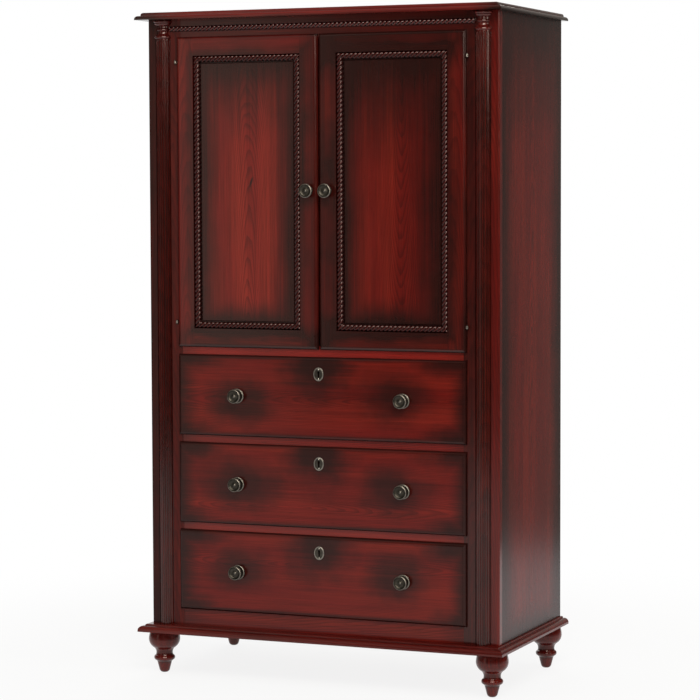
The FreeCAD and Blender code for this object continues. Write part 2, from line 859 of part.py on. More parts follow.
def tails(side, z0, z1, root_y, tip_y):
    """Dovetails of one drawer side: evenly pitched, wider at the tip than at the root."""
    outer = side * drawer_half()
    inner = outer - side * drawer_side_thick
    pitch = (z1 - z0) / tail_count
    root_half = pitch * tail_width_share / 2
    tip_half = root_half + pitch * tail_flare_share / 2
    shapes = []
    for index in range(tail_count):
        middle = z0 + pitch * (index + 0.5)
        outline = polygon([point(inner, root_y, middle - root_half), point(inner, root_y, middle + root_half),
                           point(inner, tip_y, middle + tip_half), point(inner, tip_y, middle - tip_half)])
        shapes.append(outline.extrude(X_AXIS * (outer - inner)))
    return shapes


def drawer_ends():
    """Where a drawer side's shoulders meet the front and the back."""
    rear = panel_face_y - drawer_back_gap
    return front_back_y, rear - drawer_back_thick, rear


def drawer_tails(index, side):
    low, high = drawer_levels(index)
    shoulder, back_shoulder, rear = drawer_ends()
    back_low = low + drawer_bottom_rise + drawer_bottom_thick
    front_tails = tails(side, low, high, shoulder, shoulder - tail_length)
    back_tails = tails(side, back_low, high - drawer_back_drop, back_shoulder, rear)
    return front_tails, back_tails


def drawer_bottom(index):
    low, high = drawer_levels(index)
    shoulder, back_shoulder, rear = drawer_ends()
    half = drawer_half() - drawer_side_thick + drawer_groove
    return box(-half, half, shoulder - drawer_groove, rear,
               low + drawer_bottom_rise, low + drawer_bottom_rise + drawer_bottom_thick)


def drawer_sides(index):
    low, high = drawer_levels(index)
    shoulder, back_shoulder, rear = drawer_ends()
    sides = []
    for side in SIDES.values():
        outer = side * drawer_half()
        board = box(outer, outer - side * drawer_side_thick, shoulder, back_shoulder, low, high)
        front_tails, back_tails = drawer_tails(index, side)
        sides.append(board.multiFuse(front_tails + back_tails).cut(drawer_bottom(index)))
    return Part.Compound(sides)


def drawer_back(index):
    """Back between the tails of the sides, standing on the drawer's bottom."""
    low, high = drawer_levels(index)
    shoulder, back_shoulder, rear = drawer_ends()
    board = box(-drawer_half(), drawer_half(), back_shoulder, rear,
                low + drawer_bottom_rise + drawer_bottom_thick, high - drawer_back_drop)
    tools = []
    for side in SIDES.values():
        tools.extend(drawer_tails(index, side)[1])
    return cut_all(board, tools)


def drawer_knob_places(index):
    low, high = drawer_opening(index)
    return [(side * front_half * knob_spread_share, (low + high) / 2) for side in SIDES.values()]


def keyhole_level(index):
    return drawer_opening(index)[1] + lip_overlap - keyhole_drop


def keyhole(index, y0, y1):
    """Round hole over a straight slot, as a key needs it."""
    level = keyhole_level(index)
    eye = level + keyhole_rise
    bore = Part.makeCylinder(keyhole_radius, y1 - y0, point(0, y0, eye), Y_AXIS)
    slot = box(-keyhole_slot_width / 2, keyhole_slot_width / 2, y0, y1, level - keyhole_slot_fall, eye)
    return bore.fuse(slot)


def drawer_front(index):
    """Lipped front: plate over the frame, body in the opening, sockets, groove, keyhole and lock seat."""
    low, high = drawer_levels(index)
    opening_low, opening_high = drawer_opening(index)
    plate = lipped_plate(-front_half, front_half, opening_low - lip_overlap, opening_high + lip_overlap)
    body = box(-drawer_half(), drawer_half(), face_y, front_back_y, low, high)
    tools = [drawer_bottom(index), lock_block(index), keyhole(index, lip_face_y, front_back_y)]
    for side in SIDES.values():
        tools.extend(drawer_tails(index, side)[0])
    tools.extend(knob_hole(x, z) for x, z in drawer_knob_places(index))
    return cut_all(plate.fuse(body), tools)


def drawer_knobs(index):
    solids = []
    for x, z in drawer_knob_places(index):
        solids.extend(knob(x, z, rosette_radius))
    return Part.Compound(solids)


def oval(centre, half_width, half_height, thick):
    rim = Part.Ellipse(centre + Z_AXIS * half_height, centre + X_AXIS * half_width, centre).toShape()
    return Part.Face(Part.Wire([rim])).extrude(Y_AXIS * thick)


def escutcheon(index):
    """Oval keyhole plate with a rounded rim round a sunk field."""
    centre = point(0, lip_face_y - escutcheon_thick, keyhole_level(index))
    half_width = escutcheon_width / 2
    half_height = escutcheon_height / 2
    plate = oval(centre, half_width, half_height, escutcheon_thick)
    front_rim = [edge for edge in plate.Edges if edge.BoundBox.YMax < centre.y + run_clear]
    plate = plate.makeFillet(escutcheon_round, front_rim)
    field_half = half_width - escutcheon_rim_width
    field = oval(centre, field_half, half_height - escutcheon_rim_width, escutcheon_sink)
    return plate.cut(field).cut(keyhole(index, centre.y, lip_face_y))


def lock_block(index):
    top = drawer_levels(index)[1]
    y0 = front_back_y - lock_let_in
    return box(-lock_width / 2, lock_width / 2, y0, front_back_y + lock_proud, top - lock_height, top)


def lock_case(index):
    """Half-mortise lock: a case with a slide for the bolt and a post for a hollow key."""
    top = drawer_levels(index)[1]
    y0 = front_back_y - lock_let_in
    half = bolt_width / 2 + bolt_clear
    slide = box(-half, half, bolt_y - bolt_clear, bolt_y + bolt_thick + bolt_clear,
                top - bolt_length - bolt_clear, top)
    chamber = keyhole(index, y0, y0 + lock_let_in)
    eye = point(0, y0, keyhole_level(index) + keyhole_rise)
    post = Part.makeCylinder(key_post_radius, lock_let_in, eye, Y_AXIS)
    return cut_all(lock_block(index), [slide, chamber]).fuse(post)


def lock_bolt(index):
    top = drawer_levels(index)[1]
    return box(-bolt_width / 2, bolt_width / 2, bolt_y, bolt_y + bolt_thick, top - bolt_length, top)


def back_rail_y():
    return panel_face_y - back_rail_width


def drawer_runner(index, side):
    """Flat runner under a drawer's side, from the face frame to the web frame's back rail."""
    level = drawer_opening(index)[0]
    inner = side * (drawer_half() - drawer_side_thick)
    return box(inner, inner + side * runner_width, frame_back_y, back_rail_y(), level - runner_thick, level)


def drawer_guide(index, side):
    """Strip on a runner, beside the drawer's side, which keeps the drawer straight."""
    level = drawer_opening(index)[0]
    inner = side * opening_half
    return box(inner, inner + side * guide_thick, frame_back_y, back_rail_y(), level, level + guide_height)


def beside_every_drawer(maker):
    return Part.Compound([maker(index, side) for index in range(drawer_count) for side in SIDES.values()])


def drawer_back_rails():
    """Rails across the back of the case that carry the runners' far ends."""
    tops = [drawer_opening(index)[0] for index in range(drawer_count)]
    return Part.Compound([box(-inside_half, inside_half, back_rail_y(), panel_face_y, top - runner_thick, top)
                          for top in tops])


def case_nodes():
    rails = rail_levels()
    nodes = {
        "top_board": top_board(),
        "base_moulding": base_moulding(),
        "turned_feet": turned_feet(),
        "back_panel": back_panel(),
        "cabinet_floor": cabinet_floor(),
        "bottom_board": bottom_board(),
        "bottom_rail": frame_rail(*rails[0], over_drawer=False),
        "drawer_rails": Part.Compound([frame_rail(*levels, over_drawer=True) for levels in rails[1:-2]]),
        "door_sill_rail": frame_rail(*rails[-2], over_drawer=True),
        "frieze_rail": frame_rail(*rails[-1], over_drawer=False),
        "frieze_rope": frieze_rope(),
        "adjustable_shelf": adjustable_shelf(),
        "shelf_pins": shelf_pins(),
        "drawer_runners": beside_every_drawer(drawer_runner),
        "drawer_guides": beside_every_drawer(drawer_guide),
        "drawer_back_rails": drawer_back_rails(),
        "post_hinge_leaves": on_both_posts(post_hinge_leaf),
        "hinge_pins": on_both_posts(hinge_pin),
        "door_catches": door_catches(),
    }
    for name, side in SIDES.items():
        nodes[name + "_side_panel"] = side_panel(side)
        nodes[name + "_corner_post"] = corner_post(side)
        nodes[name + "_column"] = column(side)
    return nodes


def door_nodes(name, side):
    return {
        name + "_door_stiles": door_stiles(side),
        name + "_door_rails": door_rails(side),
        name + "_door_panel": door_panel(side),
        name + "_door_rope": door_rope(side),
        name + "_door_knob": Part.Compound(knob(*door_knob_place(side), collar_radius)),
        name + "_door_hinge_leaves": Part.Compound([door_hinge_leaf(side, level) for level in hinge_levels]),
    }


def drawer_nodes(name, index):
    return {
        name + "_drawer_front": drawer_front(index),
        name + "_drawer_sides": drawer_sides(index),
        name + "_drawer_back": drawer_back(index),
        name + "_drawer_bottom": drawer_bottom(index),
        name + "_drawer_knobs": drawer_knobs(index),
        name + "_drawer_escutcheon": escutcheon(index),
        name + "_drawer_lock_case": lock_case(index),
        name + "_drawer_lock_bolt": lock_bolt(index),
    }


def main():
    nodes = case_nodes()
    for name, side in SIDES.items():
        nodes.update(door_nodes(name, side))
    for index, name in enumerate(("bottom", "middle", "top")):
        nodes.update(drawer_nodes(name, index))
    os.makedirs("parts", exist_ok=True)
    for name, shape in nodes.items():
        shape.exportStep(os.path.join("parts", name + ".step"))


main()
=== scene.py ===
import math

import bpy
import numpy as np
from mathutils import Matrix, Vector


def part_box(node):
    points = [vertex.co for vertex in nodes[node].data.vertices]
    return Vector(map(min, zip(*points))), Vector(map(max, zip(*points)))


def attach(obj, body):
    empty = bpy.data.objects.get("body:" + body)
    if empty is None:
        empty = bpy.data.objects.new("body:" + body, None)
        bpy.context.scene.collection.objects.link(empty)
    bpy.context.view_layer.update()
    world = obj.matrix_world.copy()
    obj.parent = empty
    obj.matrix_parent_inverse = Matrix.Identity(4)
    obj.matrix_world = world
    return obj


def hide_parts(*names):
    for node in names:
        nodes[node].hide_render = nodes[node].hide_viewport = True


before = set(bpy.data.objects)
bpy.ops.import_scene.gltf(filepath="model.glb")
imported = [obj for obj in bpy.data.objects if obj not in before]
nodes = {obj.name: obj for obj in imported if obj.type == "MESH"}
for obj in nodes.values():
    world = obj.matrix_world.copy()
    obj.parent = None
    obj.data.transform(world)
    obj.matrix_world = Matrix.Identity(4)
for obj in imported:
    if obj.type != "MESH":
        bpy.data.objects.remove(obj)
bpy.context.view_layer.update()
MM = 0.001
X, Y, Z = range(3)
SIDES = {"left": -1, "right": 1}
DRAWERS = ("bottom", "middle", "top")


def span(node, axis):
    """Lowest and highest place of a CAD node along one axis, in metres."""
    return tuple(float(corner[axis]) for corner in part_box(node))


def centre(node, axis):
    """Place of the middle of a CAD node's box along one axis, in metres."""
    return sum(span(node, axis)) / 2


def colour(red, green, blue):
    """Colour as a screen shows it, from 0 to 255, turned into linear light."""
    shown = np.array([red, green, blue]) / 255.0
    linear = np.where(shown <= 0.04045, shown / 12.92, ((shown + 0.055) / 1.055) ** 2.4)
    return (*linear.tolist(), 1.0)


# Camera: where the photographer stood, which way the lens looked in radians, and the lens in millimetres
CAMERA_PLACE = Vector((2.7398, -6.5947, 1.3508))
CAMERA_YAW = 0.3952
CAMERA_DIP = 0.0641
CAMERA_ROLL = -0.0034
LENS = 133.21
SENSOR = 36.0

# Studio: soft boxes as (name, place, what they aim at, width, height, watts), and the one no lacquer mirrors
SOFT_BOXES = (
    ("key_box", (2.1, -3.5, 4.2), (0.0, -0.2, 1.1), 2.0, 2.0, 125.0),
    ("side_box", (4.1, -0.9, 2.4), (0.5, 0.0, 0.8), 0.9, 1.4, 20.0),
    ("back_box", (-1.6, 4.2, 2.8), (0.0, 0.3, 0.9), 2.0, 2.0, 60.0),
)
UNMIRRORED_BOX = "key_box"
WARM_WHITE = (1.0, 0.97, 0.88)
ROOM_LIGHT = 0.62
FLOOR_HALF = 40.0
FLOOR_PAINT = (0.82, 0.82, 0.82, 1.0)
FLOOR_SHADOW_SHARE = 0.14
FLOOR_SHADOW_NEAR, FLOOR_SHADOW_FAR = 0.9, 2.2

# Curtains that the lacquer mirrors, open towards the white background
# Each has a name, where it starts and ends in degrees, its radius and its grey
CURTAIN_HEIGHT, CURTAIN_POINTS = 6.0, 33
CURTAINS = (
    ("dim_curtain", 165.0, 235.0, 5.6, 0.12),
    ("pale_curtain", 235.0, 247.0, 5.6, 0.85),
    ("dark_curtain", 247.0, 388.0, 5.6, 0.03),
    ("grey_curtain", 380.0, 422.0, 2.7, 0.09),
    ("soft_curtain", 422.0, 455.0, 2.7, 0.36),
)
CEILING_Z, CEILING_RADIUS, CEILING_GREY, CEILING_POINTS = 6.0, 5.6, 0.30, 36

# Bright cloth that the rope's crowns, the capitals and the knobs mirror
BRIGHT_PLACE, BRIGHT_AIM = Vector((1.90, -4.14, 3.80)), Vector((0.0, -0.25, 1.30))
BRIGHT_HALF, BRIGHT_STRENGTH = 1.8, 9.5

# Levels and planes of the case, read from its CAD nodes
FACE_Y = span("frieze_rail", Y)[0]
TOP_Z = span("top_board", Z)[1]
FRONT_HALF = span("top_drawer_front", X)[1]
DOOR_LOW, DOOR_TOP = span("right_door_stiles", Z)
DOOR_BACK_Y = span("right_door_stiles", Y)[1]
DOOR_KNOB_X, DOOR_KNOB_Z = centre("right_door_knob", X), centre("right_door_knob", Z)
KNOB_FACE_Y = span("right_door_knob", Y)[0]
WINDOW_NEAR, WINDOW_FAR = span("right_door_rope", X)
WINDOW_LOW, WINDOW_TOP = span("right_door_rope", Z)
PANEL_FRONT_Y = span("right_door_rope", Y)[1]
COLUMN_X, COLUMN_Y = centre("right_column", X), span("right_column", Y)[1]
DRAWER_SPANS = {name: span(name + "_drawer_front", Z) for name in DRAWERS}
KEYHOLE_Z = {name: centre(name + "_drawer_escutcheon", Z) for name in DRAWERS}
FRIEZE_ROPE_HALF = span("frieze_rope", X)[1]
FRIEZE_ROPE_Z = centre("frieze_rope", Z)
FRIEZE_ROPE_RADIUS = FRIEZE_ROPE_Z - span("frieze_rope", Z)[0]

# Sizes inside the nodes that their boxes don't show, and where the finish changes from one to another
SHAFT_RADIUS = 20.5 * MM
FLUTE_LIP, FLUTE_FLOOR = 0.3 * MM, 2.2 * MM
CAPITAL_FOOT_Z, CAPITAL_Z = 1.74, 1.76
DRAWER_KNOB_X = 241.3 * MM
KNOB_BEHIND_FACE = (11.0 * MM, 7.0 * MM)
KNOB_RIM = (16.0 * MM, 17.5 * MM)
KNOB_BUTTON = (4.6 * MM, 3.2 * MM)
KNOB_ROSETTE = (16.5 * MM, 19.0 * MM)
HINGE_HALF = 25.0 * MM
# Reach of the painted highlight on each hinge's knuckle
HINGE_HIGHLIGHT = (4.0 * MM, 2.2 * MM)
ESCUTCHEON_RIM_RISE = 0.9 * MM
ESCUTCHEON_RIM = (0.76, 0.86)
FOOT_HOLLOW = (0.047, 0.052, 0.058, 0.068)
FOOT_ANKLE = (0.024, 0.031, 0.033, 0.037)
TOP_FLAT = (1.5 * MM, 0.3 * MM)
TOP_LOW_ROUND = (12.0 * MM, 17.0 * MM)

# Rope moulding: a half round on a low seat, with strands at a pitch, and the reach of its mitres along a run
ROPE_RADIUS = 9.25 * MM
ROPE_SEAT = 2.75 * MM
ROPE_PITCH = 12.4 * MM
ROPE_GROOVE_SHARE = 0.70
ROPE_MITRE_REACH = 42.0 * MM
STRAND_STEPS = 10
STRAND_FLOOR = 0.05
ROPE_ARC_STEPS = 25
DOOR_ROPE_GLOSS, FRIEZE_ROPE_GLOSS = 0.3, 0.6

# Pins of the keyhole plates: rise from the keyhole, radius, height, and rings and spokes of points
PIN_RISE, PIN_RADIUS, PIN_HEIGHT = 12.8 * MM, 2.0 * MM, 1.2 * MM
PIN_RINGS, PIN_SPOKES = 6, 16

# Strike plates on the doors' backs: place, half sizes, how square the oval is, and (inset, rise) of its rings
STRIKE_X, STRIKE_Z = 0.025, 1.7315
STRIKE_HALF_X, STRIKE_HALF_Z = 15.0 * MM, 4.5 * MM
STRIKE_SQUARENESS, STRIKE_POINTS = 0.35, 40
STRIKE_RINGS = ((0.0, 0.0), (0.0, 0.7 * MM), (0.3 * MM, 1.0 * MM), (2.5 * MM, 1.0 * MM))

# Colours
CHERRY_EARLY = colour(96, 17, 12)
CHERRY_LATE = colour(52, 9, 7)
CHERRY_GLOW = colour(120, 31, 19)
# Dark tone of the burnish, and of the painted shade on some pieces
BURNISH_AND_SHADE = colour(32, 12, 9)
INNER_EARLY = colour(126, 62, 42)
INNER_LATE = colour(92, 42, 29)
SHEET_EARLY = colour(112, 60, 44)
SHEET_LATE = colour(90, 46, 34)
MAPLE_EARLY = colour(206, 172, 132)
MAPLE_LATE = colour(178, 139, 98)
DOOR_ROPE_GROOVE, DOOR_ROPE_CREST = colour(31, 8, 6), colour(60, 15, 11)
FRIEZE_ROPE_GROOVE, FRIEZE_ROPE_CREST = colour(26, 8, 7), colour(84, 24, 19)
PEWTER_PALE = colour(160, 152, 142)
PEWTER_DARK = colour(58, 54, 48)
BRONZE_DARK = colour(34, 24, 20)
BRASS_BRIGHT = colour(200, 165, 98)
BRASS_DULL = colour(150, 116, 62)
# Near-black painted shade behind the keyholes
KEYHOLE_SHADE = colour(24, 18, 14)
PIN_BRIGHT = colour(205, 198, 186)
STEEL_BRIGHT, STRIKE_BRIGHT, STEEL_DULL = colour(200, 200, 198), colour(205, 204, 200), colour(150, 150, 148)
CATCH_DARK, CATCH_PALE = colour(58, 42, 34), colour(78, 58, 47)
WARM_SHEEN = (1.0, 0.84, 0.79, 1.0)
ROPE_SHEEN = (1.0, 0.72, 0.69, 1.0)

# Woods as the tones of early growth, late rings and glowing bands
CHERRY = (CHERRY_EARLY, CHERRY_LATE, CHERRY_GLOW)
INNER = (INNER_EARLY, INNER_LATE, INNER_EARLY)
SHEET = (SHEET_EARLY, SHEET_LATE, SHEET_EARLY)
MAPLE = (MAPLE_EARLY, MAPLE_LATE, MAPLE_EARLY)

# Axes of a board across its grain, through it and along its grain
GRAIN = {
    "upright": ("x", "y", "z"),
    "level": ("z", "y", "x"),
    "upright_side": ("y", "x", "z"),
    "level_flat": ("y", "z", "x"),
    "deep_flat": ("x", "z", "y"),
    "deep_side": ("z", "x", "y"),
}

# Noises that make up the grain: how often they change in a metre across it and along it, and their detail
GRAIN_NOISES = {
    "drift": (3.0, 0.9, 2.0),
    "wander": (28.0, 5.0, 3.0),
    "streak": (120.0, 2.4, 3.0),
    "fibre": (480.0, 7.0, 3.0),
    "fleck": (240.0, 20.0, 2.0),
    "band": (16.0, 1.1, 2.0),
    "figure": (9.0, 4.0, 2.0),
}

# A board's seed shifts these noises along the grain, and the others across it
SHIFTED_ALONG = ("fibre", "figure")

# How far the trunk drifts, how much each noise darkens the wood, its pores and the polish of its lacquer
PITH_DRIFT, HEART_DRIFT, RING_WANDER = 0.05, 0.03, 2.6
LATE_RING = (0.35, 0.90, 0.94, 1.0)
RING_SHARE, BAND_SHARE = 0.40, 0.55
FIBRE_SHARE, STREAK_SHARE, FLECK_SHARE, FIGURE_SHARE = 0.85, 0.55, 0.30, 0.55
FLECK_RANGE, BAND_RANGE = (0.62, 0.80), (0.40, 0.66)
BURNISH_STREAKS = 2.4
PORE_DEPTH = 0.06 * MM
LACQUER = 0.18

# Sprayed burnish: how uneven it is, the size of its clouds, and at which share of its width it fades
UNEVEN_SPRAY = 0.35
RIM_CLOUD, RIM_ROUNDING, RIM_FADE = 0.12, 0.9, (1.8, 0.15)
SPRAY_CLOUD, SPRAY_FADE = 0.07, (1.10, 0.22)

# Patina of the metals
GRIME_SIZE, PIT_SIZE, PIT_DEPTH = 6.0 * MM, 1.1 * MM, 0.2 * MM

# Grain of the wide boards: drawers as the figure's rise and place across, panels as pith, middle and lean
DRAWER_GRAIN = {"bottom": (0.150, 0.10), "middle": (0.060, -0.05), "top": (0.105, 0.24)}
DRAWER_LIFTS = {"bottom": 1.06, "middle": 1.14, "top": 1.04}
PANEL_GRAIN = {"left": (-0.203, 1.25, 0.065), "right": (0.236, 1.42, -0.065)}
PANEL_LIFTS = {"left": 1.33, "right": 0.94}
GUM_STREAK_SIDE, GUM_STREAK_X, GUM_STREAK_Z, GUM_STREAK_LEAN = "left", -0.199, 1.357, 0.3
GUM_STREAK_WIDE, GUM_STREAK_HIGH = 4.5 * MM, 17.0 * MM

# How far the dark burnish reaches in from the edges of the panels: low edge, top edge, low x and high x
PANEL_LOW_BURNISH = 0.048
PANEL_TOP_BURNISH = {"left": 0.145, "right": 0.195}
PANEL_SIDE_BURNISH = {"left": (0.050, 0.056), "right": (0.044, 0.066)}

# How dark the burnish is: corner posts (outer edge, inner edge), columns, door frames (stiles, rails)
POST_BURNISH = {"left": (0.85, 0.50), "right": (0.28, 0.76)}
POST_GLOSS = {"left": 0.19, "right": 0.40}
POST_OUTER_X, POST_INNER_X = 0.486, 0.466
COLUMN_BURNISH = {"left": 0.36, "right": 0.38}
FRAME_BURNISH = {"left": (0.06, 0.16), "right": (0.30, 0.70)}
LOW_RAIL_BURNISH = {"left": 0.40, "right": -0.20}
HALO_BURNISH = {"left": 0.60, "right": 0.42}
# Shares of the frames' soft patches, meeting burnish and lip's painted shade, and the darkest a frame gets
FRAME_PATCHES, MEETING_BURNISH, LIP_SHADE, DARKEST_FRAME = 0.22, 0.45, 0.40, 0.94

# Where the darkening of a door's frame fades: off the rope and the doors' meeting, at the lip's painted
# shade, and on its rails
HALO_FADE = (0.034, 0.002)
MEETING_FADE = (0.050, 0.003)
LIP_SHADE_FADE = (0.011, 0.002)
LOW_RAIL_FADE = (0.990, 0.930)
RAIL_FADE = (-0.07, 0.04)

# Dark cloud behind a door's knob: reach across, reach up, share
RUBBED_WIDE, RUBBED_HIGH, RUBBED_SHARE = 0.060, 0.130, 0.8

# Dark clouds sprayed on the drawers: reach across, reach up, share
KEYHOLE_CLOUD, KEYHOLE_CLOUD_DROP = (0.138, 0.135, 0.94), 0.015
# Painted shade round the keyhole, seen only inside the keyhole: reach across, reach up, share
KEYHOLE_BORE_SHADE = (0.009, 0.020, 1.0)
TOP_CORNER_CLOUD = (0.190, 0.070, 0.95)
LOW_CORNER_CLOUD = (0.150, 0.065, 0.95)
KNOB_CLOUD_SHARE = 0.82

# Clouds behind the drawers' knobs, left and right: offset from the knob and reach, across and up
KNOB_CLOUDS = {
    "bottom": ((0.005, 0.010, 0.110, 0.082), (-0.012, 0.010, 0.120, 0.085)),
    "middle": ((0.006, 0.000, 0.175, 0.098), (-0.026, 0.004, 0.140, 0.095)),
    "top": ((0.012, -0.018, 0.130, 0.090), (-0.030, 0.008, 0.140, 0.095)),
}

# Widths of the dark rims at the low and the high end of an axis, and rims that lie beyond the board's edge
TOP_RIM_X, TOP_RIM_Y = (0.10, 0.06), (0.10, 0.08)
SIDE_RIM_Y, SIDE_RIM_Z = (0.085, 0.085), (0.05, 0.26)
FRONT_RIM_X, FRONT_RIM_Z = (0.048, 0.036), (0.012, 0.010)
BOTTOM_RAIL_RIM_X, BOTTOM_RAIL_RIM_Z = (0.06, 0.06), (0.030, 0.030)
TOP_RIM_FRONT_Y = -0.420
BOTTOM_RAIL_RIM_LOW, BOTTOM_RAIL_RIM_TOP = 0.100, 0.230
RAIL_END_FADE = (0.34, 0.425)


class Signal:
    """A shader value that can be reckoned with: each operator adds a Math node."""

    def __init__(self, tree, socket):
        self.tree = tree
        self.socket = socket

    def reckon(self, operation, *terms):
        node = self.tree.nodes.new("ShaderNodeMath")
        node.operation = operation
        for socket, term in zip(node.inputs, terms):
            feed(self.tree, socket, term)
        return Signal(self.tree, node.outputs[0])

    def __add__(self, other):
        return self.reckon("ADD", self, other)

    def __radd__(self, other):
        return self.reckon("ADD", other, self)

    def __sub__(self, other):
        return self.reckon("SUBTRACT", self, other)

    def __rsub__(self, other):
        return self.reckon("SUBTRACT", other, self)

    def __mul__(self, other):
        return self.reckon("MULTIPLY", self, other)

    def __truediv__(self, other):
        return self.reckon("DIVIDE", self, other)

    def __abs__(self):
        return self.reckon("ABSOLUTE", self)

    def root(self):
        return self.reckon("SQRT", self)

    def fract(self):
        return self.reckon("FRACT", self)

    def least(self, other, blend=0.0):
        return self.reckon("SMOOTH_MIN", self, other, blend)

    def most(self, other):
        return self.reckon("MAXIMUM", self, other)

    def step(self, low, high):
        """0 at low and 1 at high, with a smooth change between them; low may be the larger."""
        node = self.tree.nodes.new("ShaderNodeMapRange")
        node.interpolation_type = "SMOOTHSTEP"
        for name, term in (("Value", self), ("From Min", low), ("From Max", high)):
            feed(self.tree, node.inputs[name], term)
        return Signal(self.tree, node.outputs["Result"])

    def between(self, low, rise, fall, high):
        """1 from rise to fall, with a smooth change to 0 at low and at high."""
        return self.step(low, rise) * self.step(high, fall)


def feed(tree, socket, term):
    """Links a signal or a socket to a socket, or sets a plain value on it."""
    if isinstance(term, Signal):
        term = term.socket
    if isinstance(term, bpy.types.NodeSocket):
        tree.links.new(term, socket)
    else:
        socket.default_value = term


def distance(first, second):
    """Length of the two sides' hypotenuse, as a signal."""
    return (first * first + second * second).root()


class Finish:
    """A material being mixed round one Principled shader, on the piece's object coordinates."""

    def __init__(self, name):
        self.material = bpy.data.materials.new(name)
        self.material.use_nodes = True
        self.tree = self.material.node_tree
        self.shader = self.tree.nodes["Principled BSDF"]
        place = self.tree.nodes.new("ShaderNodeTexCoord").outputs["Object"]
        split = self.add("ShaderNodeSeparateXYZ", Vector=place)
        self.axes = {letter: Signal(self.tree, socket) for letter, socket in zip("xyz", split.outputs)}

    def add(self, kind, **terms):
        node = self.tree.nodes.new(kind)
        for name, term in terms.items():
            feed(self.tree, node.inputs[name], term)
        return node

    def noise(self, x, y, z, detail=2.0):
        """Cloudy noise from 0 to 1 at a point that the caller has stretched."""
        point = self.add("ShaderNodeCombineXYZ", X=x, Y=y, Z=z)
        node = self.add("ShaderNodeTexNoise", Vector=point.outputs[0], Scale=1.0, Detail=detail)
        return Signal(self.tree, node.outputs[0])

    def clouds(self, size, seed=0.0, detail=2.0):
        """The same noise in every direction, with clouds of about the given size in metres."""
        x, y, z = (self.axes[letter] * (1.0 / size) for letter in "xyz")
        return self.noise(x + seed, y, z, detail)

    def ragged(self, size, seed, reach, detail=2.0):
        """Clouds round 0 that reach this far up and down, to make a line or a tone uneven."""
        return (self.clouds(size, seed, detail) - 0.5) * (2 * reach)

    def mix(self, share, first, second):
        node = self.tree.nodes.new("ShaderNodeMix")
        node.data_type = "RGBA"
        for index, term in ((0, share), (6, first), (7, second)):
            feed(self.tree, node.inputs[index], term)
        return node.outputs[2]

    def dim(self, tone, share):
        node = self.tree.nodes.new("ShaderNodeVectorMath")
        node.operation = "SCALE"
        feed(self.tree, node.inputs[0], tone[:3] if isinstance(tone, tuple) else tone)
        feed(self.tree, node.inputs["Scale"], share)
        return node.outputs[0]

    def shade(self, tone, roughness, height, depth, strength):
        """Sends colour, roughness and a bump of the given depth in metres to the shader."""
        feed(self.tree, self.shader.inputs["Base Color"], tone)
        feed(self.tree, self.shader.inputs["Roughness"], roughness)
        bump = self.add("ShaderNodeBump", Strength=strength, Distance=depth, Height=height)
        feed(self.tree, self.shader.inputs["Normal"], bump.outputs[0])

    def constant(self, **terms):
        """Values that are the same all over go on the shader's own sockets."""
        for name, term in terms.items():
            self.shader.inputs[name.replace("_", " ")].default_value = term


def dress(name, material):
    """Gives a CAD node its finish in every material slot."""
    mesh = nodes[name].data
    mesh.materials.clear()
    mesh.materials.append(material)


def edge_burnish(finish, spans, seed):
    """Dark rim of a board: 1 at its edges, 0 inside. spans holds (axis, low, high, low width, high width)."""
    nearest = None
    for axis, low, high, low_width, high_width in spans:
        for gap in ((finish.axes[axis] - low) / low_width, (high - finish.axes[axis]) / high_width):
            nearest = gap if nearest is None else nearest.least(gap, RIM_ROUNDING)
    nearest = nearest + finish.ragged(RIM_CLOUD, seed, UNEVEN_SPRAY, 3.0) + RIM_FADE[1]
    return nearest.step(*RIM_FADE)


def dark_cloud(finish, first, second, seed, uneven=UNEVEN_SPRAY):
    """Dark cloud round a fitting, sprayed burnish on most pieces and painted shade at the keyholes: an
    ellipse given as (signal, middle, reach) along two axes.
    """
    sides = ((signal - middle) / reach for signal, middle, reach in (first, second))
    spread = distance(*sides) + finish.ragged(SPRAY_CLOUD, seed, uneven, 3.0)
    return spread.step(*SPRAY_FADE)


def grain_noises(finish, axes, seed):
    """Every noise of the grain, drawn out along it and shifted by the seed to another part of the trunk."""
    across, depth, along = axes
    noises = {}
    for name, (across_rate, along_rate, detail) in GRAIN_NOISES.items():
        x, y, z = across * across_rate, depth * across_rate, along * along_rate
        if name in SHIFTED_ALONG:
            z = z + seed
        else:
            x = x + seed
        noises[name] = finish.noise(x, y, z, detail)
    return noises


